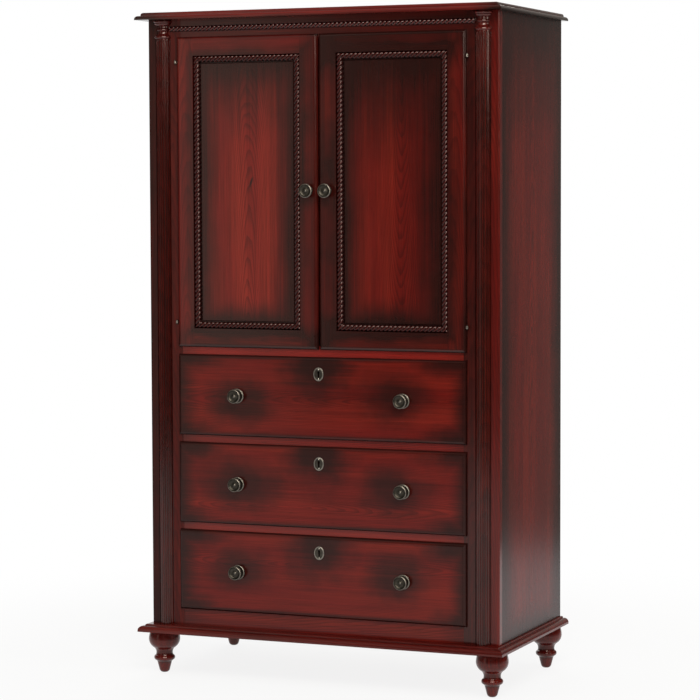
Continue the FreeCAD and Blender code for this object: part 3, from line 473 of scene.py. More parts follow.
def wood(finish, grain, tones, seed, pith=0.0, middle=0.0, burnish_and_shade=None, lift=1.0, lean=0.05,
         ring_size=0.0034, contrast=1.0, roughness=LACQUER, gloss=0.4, heart=0.05, relief=0.2):
    """Wood cut through a leaning trunk, with rings at equal distances from the pith.

    Bands, streaks, fibres and flecks follow the grain, and the dark share darkens the wood, as burnish and,
    on some pieces, painted shade.
    """
    axes = [finish.axes[letter] for letter in GRAIN[grain]]
    across, along = axes[0], axes[2]
    noises = grain_noises(finish, axes, seed)
    drift, streak, fibre, figure = (noises[name] - 0.5 for name in ("drift", "streak", "fibre", "figure"))
    fleck = noises["fleck"].step(*FLECK_RANGE)
    reach = across - pith + drift * PITH_DRIFT
    hollow = heart + (along - middle) * lean + drift * HEART_DRIFT
    ring = (distance(reach, hollow) * (1.0 / ring_size) + noises["wander"] * RING_WANDER).fract()
    late = ring.between(*LATE_RING)
    early, dark_ring, glow = tones
    tone = finish.mix(noises["band"].step(*BAND_RANGE) * BAND_SHARE, early, glow)
    tone = finish.mix(late * (RING_SHARE * contrast), tone, dark_ring)
    dark = fibre * FIBRE_SHARE + streak * STREAK_SHARE + fleck * FLECK_SHARE
    tone = finish.dim(tone, (1.0 - dark * contrast + figure * FIGURE_SHARE) * lift)
    if burnish_and_shade is not None:
        uneven = burnish_and_shade + streak * (burnish_and_shade * (1.0 - burnish_and_shade) * BURNISH_STREAKS)
        tone = finish.mix(uneven, tone, finish.dim(BURNISH_AND_SHADE, 1.0 - fibre * 0.6 + figure * 0.5))
    polish = roughness + fibre * 0.08 + finish.ragged(0.02, seed, 0.025)
    finish.shade(tone, polish, fibre + late * 0.6 - fleck * 0.8, PORE_DEPTH, relief)
    finish.constant(Specular_IOR_Level=gloss, Specular_Tint=WARM_SHEEN)
    return finish.material


def metal(finish, bright, dull, wear_and_glint, roughness, seed):
    """Patinated metal: dull in the hollows, lighter where the wear share says, which on the hinges, knobs and
    keyhole plates also holds painted highlights, with fine pits and grime.
    """
    grime = finish.clouds(GRIME_SIZE, seed, 3.0)
    pits = finish.clouds(PIT_SIZE, seed + 1.0)
    share = wear_and_glint + (grime - 0.5) * 0.5
    tone = finish.mix(share.step(0.0, 1.0), dull, bright)
    finish.shade(tone, roughness + (grime - 0.5) * 0.2, pits + grime, PIT_DEPTH, 0.25)
    finish.constant(Metallic=1.0)
    return finish.material


def dress_top():
    """Top board: a dark rim, a flat face that is less polished than the edge, and painted shade on its lower
    round.
    """
    finish = Finish("cherry_top")
    left, right = span("top_board", X)
    back = span("top_board", Y)[1]
    rim = edge_burnish(finish, (("x", left, right, *TOP_RIM_X),
                                ("y", TOP_RIM_FRONT_Y, back, *TOP_RIM_Y)), 1.0)
    drop = TOP_Z - finish.axes["z"]
    flat_face = drop.step(*TOP_FLAT)
    # Painted shade: the downward-facing lower round darkens.
    low_round_shade = drop.step(*TOP_LOW_ROUND)
    dress("top_board", wood(finish, "level_flat", CHERRY, seed=1.0, lift=1.25, gloss=0.5,
                            burnish_and_shade=rim * 0.75 + low_round_shade * 0.30 + 0.12,
                            roughness=flat_face * 0.40 + LACQUER))


def dress_base():
    """Base moulding and turned feet, with painted shade in the hollows of the feet."""
    finish = Finish("cherry_base")
    dress("base_moulding", wood(finish, "level", CHERRY, seed=2.0, pith=0.1,
                                burnish_and_shade=finish.clouds(0.2, 2.0) * 0.5 + 0.08))

    finish = Finish("cherry_feet")
    # Painted shade in the feet's hollow and at their ankle.
    hollows = finish.axes["z"].between(*FOOT_HOLLOW) + finish.axes["z"].between(*FOOT_ANKLE)
    dress("turned_feet", wood(finish, "upright", CHERRY, seed=3.0, pith=0.46,
                              burnish_and_shade=hollows * 0.4 + finish.clouds(0.05, 3.0) * 0.4 + 0.05))


def dress_rails():
    """Rails between the posts: bottom, between the drawers, under the doors, and the frieze; the rails
    between the drawers and under the doors are painted lighter, as painted light against the shade between
    the lips.
    """
    finish = Finish("cherry_bottom_rail")
    rim = edge_burnish(finish, (("x", -FRONT_HALF, FRONT_HALF, *BOTTOM_RAIL_RIM_X),
                                ("z", BOTTOM_RAIL_RIM_LOW, BOTTOM_RAIL_RIM_TOP, *BOTTOM_RAIL_RIM_Z)), 4.0)
    dress("bottom_rail", wood(finish, "level", CHERRY, seed=4.0, pith=0.19, gloss=0.28, lift=1.05,
                              burnish_and_shade=rim * 0.5 + 0.04))

    # Painted light: these narrow rails between lips get a high lift.
    for name, seed, lift in (("drawer_rails", 5.0, 1.40), ("door_sill_rail", 6.0, 2.10)):
        finish = Finish("cherry_" + name)
        ends = abs(finish.axes["x"]).step(*RAIL_END_FADE)
        dress(name, wood(finish, "level", CHERRY, seed=seed, pith=0.7, burnish_and_shade=ends * 0.5, lift=lift))

    finish = Finish("cherry_frieze")
    dress("frieze_rail", wood(finish, "level", CHERRY, seed=7.0, pith=1.7,
                              burnish_and_shade=finish.clouds(0.12, 7.0) * 0.3 + 0.40))


def dress_side_panel(side, sign):
    """Side panel with a dark rim, deepest at its top."""
    finish = Finish("cherry_%s_side" % side)
    seed = 8.0 + sign
    name = side + "_side_panel"
    rim = edge_burnish(finish, (("y", *span(name, Y), *SIDE_RIM_Y), ("z", *span(name, Z), *SIDE_RIM_Z)), seed)
    dress(name, wood(finish, "upright_side", CHERRY, seed=seed, pith=0.03, middle=0.9, roughness=0.26,
                     gloss=0.15, burnish_and_shade=rim * 0.80 + 0.10))


def dress_post(side, sign):
    """Corner post, burnished by different shares at its outer edge and beside its column."""
    finish = Finish("cherry_%s_post" % side)
    inner = (abs(finish.axes["x"]) + finish.ragged(0.09, sign, 0.01)).step(POST_OUTER_X, POST_INNER_X)
    outer_share, inner_share = POST_BURNISH[side]
    dark = inner * (inner_share - outer_share) + outer_share + finish.ragged(0.12, 5.0 + sign, 0.175)
    dress(side + "_corner_post", wood(finish, "upright", CHERRY, seed=10.0 + sign, pith=0.45 * sign,
                                      burnish_and_shade=dark, gloss=POST_GLOSS[side]))


def dress_column(side, sign):
    """Fluted half column: polished, with painted shade in the flutes below its capital."""
    finish = Finish("cherry_%s_column" % side)
    radius = distance(finish.axes["x"] - COLUMN_X * sign, finish.axes["y"] - COLUMN_Y)
    # Painted shade: the flutes darken below the capital.
    flute_shade = radius.step(SHAFT_RADIUS - FLUTE_LIP, SHAFT_RADIUS - FLUTE_FLOOR)
    shaft = finish.axes["z"].step(CAPITAL_Z, CAPITAL_FOOT_Z)
    dark = flute_shade * shaft * 0.25 + finish.clouds(0.1, sign) * 0.4 + COLUMN_BURNISH[side]
    dress(side + "_column", wood(finish, "upright", CHERRY, seed=12.0 + sign, pith=0.46 * sign, burnish_and_shade=dark,
                                 roughness=0.13, gloss=0.55, relief=0.04))


def frame_burnish_and_shade(finish, side, sign, low, high):
    """Dark share of a door's frame: a halo round the rope, dark meeting edges, painted shade along the lip's
    outer edges, a dark cloud by the knob, then soft patches.
    """
    x, z = finish.axes["x"], finish.axes["z"]
    beyond_rail = (WINDOW_LOW - z).most(z - WINDOW_TOP)
    beyond = beyond_rail.most(low - x).most(x - high)
    drift = finish.ragged(0.10, 20.0 + sign, 0.015, 3.0)
    halo = (beyond + drift).step(*HALO_FADE)
    meeting = (abs(x) + drift * 0.6).step(*MEETING_FADE)
    # Painted shade along the door's outer edges, on its lip.
    lip = (FRONT_HALF - abs(x)).least(z - DOOR_LOW).least(DOOR_TOP - z).step(*LIP_SHADE_FADE)
    patches = finish.clouds(0.16, 22.0 + sign).step(0.35, 0.70)
    stile_ground, rail_ground = FRAME_BURNISH[side]
    ground = beyond_rail.step(*RAIL_FADE) * (rail_ground - stile_ground) + stile_ground
    low_rail = z.step(*LOW_RAIL_FADE) * LOW_RAIL_BURNISH[side]
    rubbed = dark_cloud(finish, (x, DOOR_KNOB_X * sign, RUBBED_WIDE), (z, DOOR_KNOB_Z, RUBBED_HIGH),
                           23.0 + sign)
    dark = halo * HALO_BURNISH[side] + patches * FRAME_PATCHES + meeting * MEETING_BURNISH
    dark = dark + lip * LIP_SHADE + low_rail + ground
    return dark.most(rubbed * RUBBED_SHARE).least(DARKEST_FRAME)


def gum_streak(finish):
    """Short dark streak of gum in the wood, leaning a little."""
    up = finish.axes["z"] - GUM_STREAK_Z
    aside = finish.axes["x"] - GUM_STREAK_X - up * GUM_STREAK_LEAN
    return dark_cloud(finish, (aside, 0.0, GUM_STREAK_WIDE), (up, 0.0, GUM_STREAK_HIGH), 27.0) * 0.9


def dress_door(side, sign):
    """Door: a frame burnished round the window, and a panel burnished inside the rope."""
    low, high = sorted((WINDOW_NEAR * sign, WINDOW_FAR * sign))
    for part, grain, pith in (("stiles", "upright", 0.39 * sign), ("rails", "level", 0.93)):
        name = "%s_door_%s" % (side, part)
        finish = Finish("cherry_" + name)
        dress(name, wood(finish, grain, CHERRY, seed=24.0 + sign, pith=pith, middle=1.3,
                         burnish_and_shade=frame_burnish_and_shade(finish, side, sign, low, high)))

    finish = Finish("cherry_%s_door_panel" % side)
    rope = 2 * ROPE_RADIUS
    rim = edge_burnish(finish, (("x", low + rope, high - rope, *PANEL_SIDE_BURNISH[side]),
                                ("z", WINDOW_LOW + rope, WINDOW_TOP - rope,
                                 PANEL_LOW_BURNISH, PANEL_TOP_BURNISH[side])), 26.0 + sign)
    dark = rim * 0.96
    if side == GUM_STREAK_SIDE:
        dark = dark.most(gum_streak(finish))
    pith, middle, lean = PANEL_GRAIN[side]
    dress(side + "_door_panel", wood(finish, "upright", CHERRY, seed=28.0 + sign, pith=pith, middle=middle,
                                     lean=lean, ring_size=0.0030, heart=0.03, contrast=1.2,
                                     burnish_and_shade=dark, lift=PANEL_LIFTS[side]))


def front_burnish_and_shade(finish, name, seed):
    """Dark share of a drawer front: its edges and corners, clouds round the keyhole and the knobs, and
    painted shade in the keyhole itself.
    """
    low, high = DRAWER_SPANS[name]
    x, z = finish.axes["x"], finish.axes["z"]
    dark = edge_burnish(finish, (("x", -FRONT_HALF, FRONT_HALF, *FRONT_RIM_X),
                                 ("z", low, high, *FRONT_RIM_Z)), seed) * 0.95
    spots = [
        (x, 0.0, high - KEYHOLE_CLOUD_DROP, KEYHOLE_CLOUD),
        # Painted shade: the wood darkens fully round the keyhole.
        (x, 0.0, KEYHOLE_Z[name], KEYHOLE_BORE_SHADE),
        (abs(x), FRONT_HALF, high, TOP_CORNER_CLOUD),
        (abs(x), FRONT_HALF, low, LOW_CORNER_CLOUD),
    ]
    for sign, (offset, rise, wide, tall) in zip(SIDES.values(), KNOB_CLOUDS[name]):
        reach = (wide, tall, KNOB_CLOUD_SHARE)
        spots.append((x, DRAWER_KNOB_X * sign + offset, (low + high) / 2 + rise, reach))
    for index, (across, middle_x, middle_z, (wide, tall, share)) in enumerate(spots):
        cloud = dark_cloud(finish, (across, middle_x, wide), (z, middle_z, tall), seed + index)
        dark = dark.most(cloud * share)
    return dark


def dress_drawers():
    """Drawers: burnished fronts, and boxes of pale maple."""
    for index, name in enumerate(DRAWERS):
        seed = 30.0 + 7.0 * index
        low = DRAWER_SPANS[name][0]
        figure_rise, figure_x = DRAWER_GRAIN[name]
        finish = Finish("cherry_%s_drawer_front" % name)
        dress(name + "_drawer_front", wood(finish, "level", CHERRY, seed=seed, pith=low + figure_rise,
                                           middle=figure_x, lean=0.07, heart=0.0, contrast=1.15, gloss=0.26,
                                           burnish_and_shade=front_burnish_and_shade(finish, name, seed),
                                           lift=DRAWER_LIFTS[name]))
        for part, grain in (("sides", "deep_side"), ("back", "level"), ("bottom", "level_flat")):
            finish = Finish("maple_%s_drawer_%s" % (name, part))
            dress("%s_drawer_%s" % (name, part), wood(finish, grain, MAPLE, seed=seed + 4.0, pith=low + 0.05,
                                                      contrast=0.55, roughness=0.45))


def dress_inside():
    """Boards behind the doors and drawers, and the back sheet."""
    for name, grain, seed in (("cabinet_floor", "level_flat", 60.0), ("bottom_board", "level_flat", 61.0),
                              ("adjustable_shelf", "level_flat", 62.0), ("drawer_runners", "deep_flat", 63.0),
                              ("drawer_guides", "deep_flat", 64.0), ("drawer_back_rails", "level", 65.0)):
        finish = Finish("inner_" + name)
        dress(name, wood(finish, grain, INNER, seed=seed, pith=0.1, contrast=0.8, roughness=0.42))
    finish = Finish("back_sheet")
    dress("back_panel", wood(finish, "upright", SHEET, seed=66.0, pith=0.2, middle=2.6, contrast=0.7,
                             roughness=0.55, gloss=0.2))


def dress_knobs():
    """Knobs of the doors and drawers: dark pewter, lighter on the rim, the button and the rosette's edge, as
    rubbed wear and a painted highlight.
    """
    knobs = [(side + "_door_knob", DOOR_KNOB_X, DOOR_KNOB_Z) for side in SIDES]
    knobs += [(name + "_drawer_knobs", DRAWER_KNOB_X, sum(DRAWER_SPANS[name]) / 2) for name in DRAWERS]
    for index, (name, middle_x, middle_z) in enumerate(knobs):
        finish = Finish("pewter_" + name)
        radius = distance(abs(finish.axes["x"]) - middle_x, finish.axes["z"] - middle_z)
        front = (finish.axes["y"] - KNOB_FACE_Y).step(*KNOB_BEHIND_FACE)
        # Rim, button and rosette edge are lighter: rubbed wear and a painted highlight.
        face = radius.step(*KNOB_RIM) * 0.60 + radius.step(*KNOB_BUTTON) * 0.35
        rosette = radius.step(*KNOB_ROSETTE) * (1.0 - front) * 0.5
        wear_and_glint = face * front * 0.8 + rosette + 0.06
        dress(name, metal(finish, PEWTER_PALE, PEWTER_DARK, wear_and_glint, roughness=0.46, seed=float(index)))


def dress_keyholes():
    """Keyhole plates with lighter rims, as rubbed wear and a painted highlight, and the brass locks behind
    them, with painted shade behind the keyhole.
    """
    for index, name in enumerate(DRAWERS):
        plate = name + "_drawer_escutcheon"
        half_x = span(plate, X)[1]
        half_z = span(plate, Z)[1] - KEYHOLE_Z[name]
        finish = Finish("pewter_%s_escutcheon" % name)
        oval = distance(finish.axes["x"] / half_x, (finish.axes["z"] - KEYHOLE_Z[name]) / half_z)
        # The rim is lighter pewter: rubbed wear and a painted highlight along the plate's edge.
        rim = oval.step(*ESCUTCHEON_RIM)
        dress(plate, metal(finish, PEWTER_PALE, PEWTER_DARK, rim * 0.55 + 0.15, roughness=0.32,
                           seed=20.0 + index))
        for part in ("lock_case", "lock_bolt"):
            finish = Finish("brass_%s_%s" % (name, part))
            # Painted shade: the lock case and bolt turn near-black round the keyhole, where the keyhole shows
            # them.
            keyhole_shade = dark_cloud(finish, (finish.axes["x"], 0.0, 0.013),
                                   (finish.axes["z"], KEYHOLE_Z[name], 0.022), 32.0, 0.1)
            tones = (finish.mix(keyhole_shade, tone, KEYHOLE_SHADE) for tone in (BRASS_BRIGHT, BRASS_DULL))
            wear_and_glint = finish.clouds(0.02, 30.0) * 0.8 + 0.1
            dress("%s_drawer_%s" % (name, part), metal(finish, *tones, wear_and_glint, roughness=0.32,
                                                       seed=31.0 + index))


def dress_hinges():
    """Dark bronze hinges, with a painted highlight on the small knuckle in the middle of each."""
    low, high = span("post_hinge_leaves", Z)
    for name in ("post_hinge_leaves", "hinge_pins", "left_door_hinge_leaves", "right_door_hinge_leaves"):
        finish = Finish("bronze_" + name)
        z = finish.axes["z"]
        off = abs(z - (low + HINGE_HALF)).least(abs(z - (high - HINGE_HALF)))
        # Painted highlight: the bronze turns to pale pewter within a few millimetres of each hinge's middle.
        wear_and_glint = off.step(*HINGE_HIGHLIGHT) * 1.2 + finish.clouds(0.01, 40.0) * 0.2
        dress(name, metal(finish, PEWTER_PALE, BRONZE_DARK, wear_and_glint, roughness=0.32, seed=41.0))


def dress_small_fittings():
    """Steel shelf pins and the doors' brown catches."""
    finish = Finish("steel_shelf_pins")
    dress("shelf_pins", metal(finish, STEEL_BRIGHT, STEEL_DULL, finish.clouds(0.01, 50.0), roughness=0.3,
                              seed=51.0))

    finish = Finish("brown_catch")
    speckle = finish.clouds(0.0015, 52.0)
    finish.shade(finish.mix(speckle, CATCH_DARK, CATCH_PALE), speckle * 0.15 + 0.45, speckle, PIT_DEPTH, 0.3)
    dress("door_catches", finish.material)


def surface(name, points, faces, material, body):
    """Puts whole arrays of points and faces into a mesh that rides on a body."""
    mesh = bpy.data.meshes.new(name)
    mesh.from_pydata(points, [], faces)
    mesh.materials.append(material)
    mesh.polygons.foreach_set("use_smooth", np.ones(len(mesh.polygons), dtype=bool))
    mesh.update()
    piece = bpy.data.objects.new(name, mesh)
    bpy.context.scene.collection.objects.link(piece)
    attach(piece, body)
    return piece


def ring_faces(rings, ring_size, closed):
    """Quads between neighbouring rings of points, with the last ring joined to the first if closed."""
    first = np.arange(rings if closed else rings - 1)[:, None] * ring_size
    following = (first + ring_size) % (rings * ring_size)
    here = np.arange(ring_size)[None, :]
    there = (here + 1) % ring_size
    corners = [first + here, following + here, following + there, first + there]
    return np.stack(corners, axis=-1).reshape(-1, 4)


def outward(points, faces):
    """The faces, turned round if the closed surface that they make has a negative volume."""
    a, b, c, d = (points[faces[:, corner]] for corner in range(4))
    volume = np.einsum("ij,ij->", a, np.cross(b, c)) + np.einsum("ij,ij->", a, np.cross(c, d))
    return faces if volume > 0 else faces[:, ::-1]


def rope_arc():
    """Angles across the half round, from its outer edge over the crown to its inner edge."""
    return np.linspace(0.0, np.pi, ROPE_ARC_STEPS)


def rope_strand(x, z):
    """Height of the strands, from near 0 in a groove to 1 on a crown: they lean right at 45 degrees."""
    return np.sqrt(STRAND_FLOOR + (1.0 - STRAND_FLOOR) * np.cos(np.pi * (x - z) / ROPE_PITCH) ** 2)


def carved(radius, strand):
    """Radius of the rope where its strands have this height: whole on a crown, less in a groove."""
    return radius * (ROPE_GROOVE_SHARE + (1.0 - ROPE_GROOVE_SHARE) * strand)


def mark_crowns(piece, crowns):
    """Keeps each point's height on its strand, lowered towards the rope's foot, as an attribute for the
    finish's painted shade to follow.
    """
    attribute = piece.data.attributes.new("crown", "FLOAT", "POINT")
    attribute.data.foreach_set("value", crowns.astype(np.float32))


def door_rope(side, sign, material):
    """Rope moulding round a door's window: a half round on a low seat, whose radius follows the strands.

    The profile (v inward, h out of the panel) is carried along four mitred runs. A ring of points stands
    square to its run, and leans towards the mitre near a corner: there each point lies v further along, so
    that both ends of a run are cut at 45 degrees and meet the next run.
    """
    low, high = sorted((WINDOW_NEAR * sign, WINDOW_FAR * sign))
    corners = np.array([(low, WINDOW_LOW), (high, WINDOW_LOW), (high, WINDOW_TOP), (low, WINDOW_TOP)])
    arc = rope_arc()
    seat_v = np.array([2 * ROPE_RADIUS, 0.0])
    plain_v = np.concatenate([ROPE_RADIUS * (1 - np.cos(arc)), seat_v])
    on_rope = np.concatenate([np.ones(arc.size, dtype=bool), np.zeros(seat_v.size, dtype=bool)])
    angle = np.concatenate([arc, np.zeros(seat_v.size)])
    rows = []
    crowns = []
    for start, end in zip(corners, np.roll(corners, -1, axis=0)):
        length = np.linalg.norm(end - start)
        way = (end - start) / length
        inward = np.array([-way[1], way[0]])
        steps = int(round(length / ROPE_PITCH)) * STRAND_STEPS
        station = (np.arange(steps) * (length / steps))[:, None]
        lean = (np.clip(1.0 - station / ROPE_MITRE_REACH, 0.0, 1.0)
                - np.clip(1.0 - (length - station) / ROPE_MITRE_REACH, 0.0, 1.0))
        along = station + lean * plain_v
        nominal = start + along[..., None] * way + plain_v[None, :, None] * inward
        strand = rope_strand(nominal[..., 0], nominal[..., 1])
        radius = carved(ROPE_RADIUS, strand)
        reach = np.where(on_rope, ROPE_RADIUS - radius * np.cos(angle), plain_v)
        rise = np.where(on_rope, ROPE_SEAT + radius * np.sin(angle), 0.0)
        along = station + lean * reach
        place = start + along[..., None] * way + reach[..., None] * inward
        rows.append(np.stack([place[..., 0], PANEL_FRONT_Y - rise, place[..., 1]], axis=-1))
        # Crowns fall to 0 towards the rope's foot, where the finish paints shade.
        crowns.append(np.where(on_rope, strand * np.sin(angle) ** 0.5, 0.0))
    points = np.concatenate(rows)
    rings, ring_size = points.shape[:2]
    points = points.reshape(-1, 3)
    faces = outward(points, ring_faces(rings, ring_size, True))
    piece = surface(side + "_door_rope_carving", points.tolist(), faces.tolist(), material, side + "_door")
    mark_crowns(piece, np.concatenate(crowns).ravel())
    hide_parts(side + "_door_rope")


def frieze_rope(material):
    """The same rope along the frieze: a half round whose radius follows the strands, capped at both ends."""
    arc = rope_arc()
    steps = int(round(2 * FRIEZE_ROPE_HALF / ROPE_PITCH)) * STRAND_STEPS
    x = np.linspace(-FRIEZE_ROPE_HALF, FRIEZE_ROPE_HALF, steps + 1)[:, None]
    strand = rope_strand(x, FRIEZE_ROPE_Z - FRIEZE_ROPE_RADIUS * np.cos(arc))
    radius = carved(FRIEZE_ROPE_RADIUS, strand)
    z = FRIEZE_ROPE_Z - radius * np.cos(arc)
    y = FACE_Y - radius * np.sin(arc)
    points = np.stack([np.broadcast_to(x, z.shape), y, z], axis=-1)
    rings, ring_size = points.shape[:2]
    points = points.reshape(-1, 3)
    faces = ring_faces(rings, ring_size, False)
    turned = outward(points, faces)
    cap = list(range(ring_size))
    far_cap = [(rings - 1) * ring_size + place for place in cap]
    caps = [cap[::-1], far_cap] if turned is not faces else [cap, far_cap[::-1]]
    piece = surface("frieze_rope_carving", points.tolist(), turned.tolist() + caps, material, "carcass")
    # Crowns fall to 0 towards the rope's foot, where the finish paints shade.
    mark_crowns(piece, (strand * np.sin(arc) ** 0.5).ravel())
    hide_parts("frieze_rope")


def rope_finish(name, groove, crest, gloss):
    """Cherry rope: the groove's colour between the strands and at the rope's foot, as dark glaze with painted
    shade, and the crest's colour on their crowns.
    """
    finish = Finish(name)
    node = finish.tree.nodes.new("ShaderNodeAttribute")
    node.attribute_name = "crown"
    crown = Signal(finish.tree, node.outputs["Fac"])
    grime = finish.clouds(0.012, 70.0, 3.0)
    # Painted shade with dark glaze: towards the grooves and the foot the rope turns to the groove's colour.
    tone = finish.mix((crown + (grime - 0.5) * 0.4).step(0.35, 1.1), groove, crest)
    finish.shade(tone, 0.13 + grime * 0.10, finish.clouds(0.002, 71.0), 0.1 * MM, 0.2)
    finish.constant(Specular_IOR_Level=gloss, Specular_Tint=ROPE_SHEEN)
    return finish.material


def carve_ropes():
    """Ropes round the doors' windows and along the frieze."""
    dark_rope = rope_finish("cherry_door_rope", DOOR_ROPE_GROOVE, DOOR_ROPE_CREST, DOOR_ROPE_GLOSS)
    for side, sign in SIDES.items():
        door_rope(side, sign, dark_rope)
    frieze_rope(rope_finish("cherry_frieze_rope", FRIEZE_ROPE_GROOVE, FRIEZE_ROPE_CREST, FRIEZE_ROPE_GLOSS))


def domes(places, seat_y):
    """Round-headed pins: rings of points at growing height, closed by points at the crown and the seat."""
    rise = np.linspace(0.0, np.pi / 2, PIN_RINGS, endpoint=False)[:, None]
    turn = np.linspace(0.0, 2 * np.pi, PIN_SPOKES, endpoint=False)[None, :]
    rings = np.stack([np.cos(rise) * np.cos(turn), -np.sin(rise) * np.ones_like(turn),
                      np.cos(rise) * np.sin(turn)], axis=-1).reshape(-1, 3)
    crown_and_seat = [(0.0, -1.0, 0.0), (0.0, 0.0, 0.0)]
    pin = np.concatenate([rings, crown_and_seat]) * (PIN_RADIUS, PIN_HEIGHT, PIN_RADIUS)
    spoke = np.arange(PIN_SPOKES)
    beside = (spoke + 1) % PIN_SPOKES
    last = (PIN_RINGS - 1) * PIN_SPOKES
    crown, seat = len(rings), len(rings) + 1
    quads = ring_faces(PIN_RINGS, PIN_SPOKES, False)
    fans = np.concatenate([np.stack([last + spoke, np.full(PIN_SPOKES, crown), last + beside], axis=-1),
                           np.stack([beside, np.full(PIN_SPOKES, seat), spoke], axis=-1)])
    points = []
    faces = []
    for index, (x, z) in enumerate(places):
        points += (pin + (x, seat_y, z)).tolist()
        faces += (quads + index * len(pin)).tolist() + (fans + index * len(pin)).tolist()
    return points, faces


def escutcheon_pins():
    """Two round-headed pins that hold each keyhole plate."""
    for name in DRAWERS:
        field_y = span(name + "_drawer_escutcheon", Y)[0] + ESCUTCHEON_RIM_RISE
        finish = Finish("pewter_%s_pins" % name)
        wear_and_glint = finish.clouds(0.003, 80.0) * 0.3 + 0.75
        material = metal(finish, PIN_BRIGHT, PEWTER_DARK, wear_and_glint, roughness=0.26, seed=81.0)
        places = [(0.0, KEYHOLE_Z[name] - PIN_RISE), (0.0, KEYHOLE_Z[name] + PIN_RISE)]
        points, faces = domes(places, field_y)
        surface(name + "_drawer_escutcheon_pins", points, faces, material, name + "_drawer")


def strike_plates():
    """Steel plate on each door's back, where its catch's magnet pulls: a squared oval with a round edge."""
    turn = np.linspace(0.0, 2 * np.pi, STRIKE_POINTS, endpoint=False)
    round_x = np.sign(np.cos(turn)) * np.abs(np.cos(turn)) ** STRIKE_SQUARENESS
    round_z = np.sign(np.sin(turn)) * np.abs(np.sin(turn)) ** STRIKE_SQUARENESS
    faces = ring_faces(len(STRIKE_RINGS), turn.size, False)[:, ::-1].tolist()
    back_cap = list(range(turn.size))
    front_cap = [(len(STRIKE_RINGS) - 1) * turn.size + place for place in back_cap]
    for side, sign in SIDES.items():
        finish = Finish("steel_%s_strike" % side)
        material = metal(finish, STRIKE_BRIGHT, STEEL_DULL, finish.clouds(0.008, 90.0), roughness=0.33,
                         seed=91.0)
        rows = []
        for inset, lift in STRIKE_RINGS:
            rows.append(np.stack([STRIKE_X * sign + (STRIKE_HALF_X - inset) * round_x,
                                  np.full(turn.size, DOOR_BACK_Y + lift),
                                  STRIKE_Z + (STRIKE_HALF_Z - inset) * round_z], axis=-1))
        surface(side + "_door_strike", np.concatenate(rows).tolist(), faces + [back_cap, front_cap[::-1]],
                material, side + "_door")


def place_camera():
    """Camera at the photograph's viewing angle."""
    forward = Vector((-math.sin(CAMERA_YAW) * math.cos(CAMERA_DIP),
                      math.cos(CAMERA_YAW) * math.cos(CAMERA_DIP), -math.sin(CAMERA_DIP)))
    right = Vector((math.cos(CAMERA_YAW), math.sin(CAMERA_YAW), 0.0))
    level = right * math.cos(CAMERA_ROLL) + right.cross(forward) * math.sin(CAMERA_ROLL)
    up = level.cross(forward)
    lens = bpy.data.cameras.new("photo_camera")
    lens.lens = LENS
    lens.sensor_width = SENSOR
    camera = bpy.data.objects.new("photo_camera", lens)
    turn = Matrix((level, up, -forward)).transposed().to_4x4()
    camera.matrix_world = Matrix.Translation(CAMERA_PLACE) @ turn
    bpy.context.scene.collection.objects.link(camera)
    bpy.context.scene.camera = camera


def light_studio():
    """Soft boxes round the object, in the places that the photograph's soft reflections come from."""
    for name, place, aim, width, height, watts in SOFT_BOXES:
        lamp = bpy.data.lights.new(name, "AREA")
        lamp.shape = "RECTANGLE"
        lamp.size = width
        lamp.size_y = height
        lamp.energy = watts
        lamp.color = WARM_WHITE
        box = bpy.data.objects.new(name, lamp)
        look = Vector(aim) - Vector(place)
        turn = look.to_track_quat("-Z", "Y").to_matrix().to_4x4()
        box.matrix_world = Matrix.Translation(Vector(place)) @ turn
        box.visible_camera = False
        box.visible_glossy = name != UNMIRRORED_BOX
        bpy.context.scene.collection.objects.link(box)


def seen_rays(tree):
    """1 for rays that show the background itself: from the camera, in a reflection or through glass."""
    path = tree.nodes.new("ShaderNodeLightPath")
    camera, glossy, through = (Signal(tree, path.outputs[name])
                               for name in ("Is Camera Ray", "Is Glossy Ray", "Is Transmission Ray"))
    return camera.most(glossy).most(through)


def light_background():
    """White background, which lights the object more dimly than it looks."""
    world = bpy.data.worlds.new("studio")
    world.use_nodes = True
    bpy.context.scene.world = world
    tree = world.node_tree
    ground = tree.nodes["Background"]
    ground.inputs["Color"].default_value = (1.0, 1.0, 1.0, 1.0)
    feed(tree, ground.inputs["Strength"], seen_rays(tree) * (1.0 - ROOM_LIGHT) + ROOM_LIGHT)


def bare_material(name):
    """Material whose nodes are only an output, and its node tree."""
    material = bpy.data.materials.new(name)
    material.use_nodes = True
    tree = material.node_tree
    tree.nodes.clear()
    return material, tree, tree.nodes.new("ShaderNodeOutputMaterial")


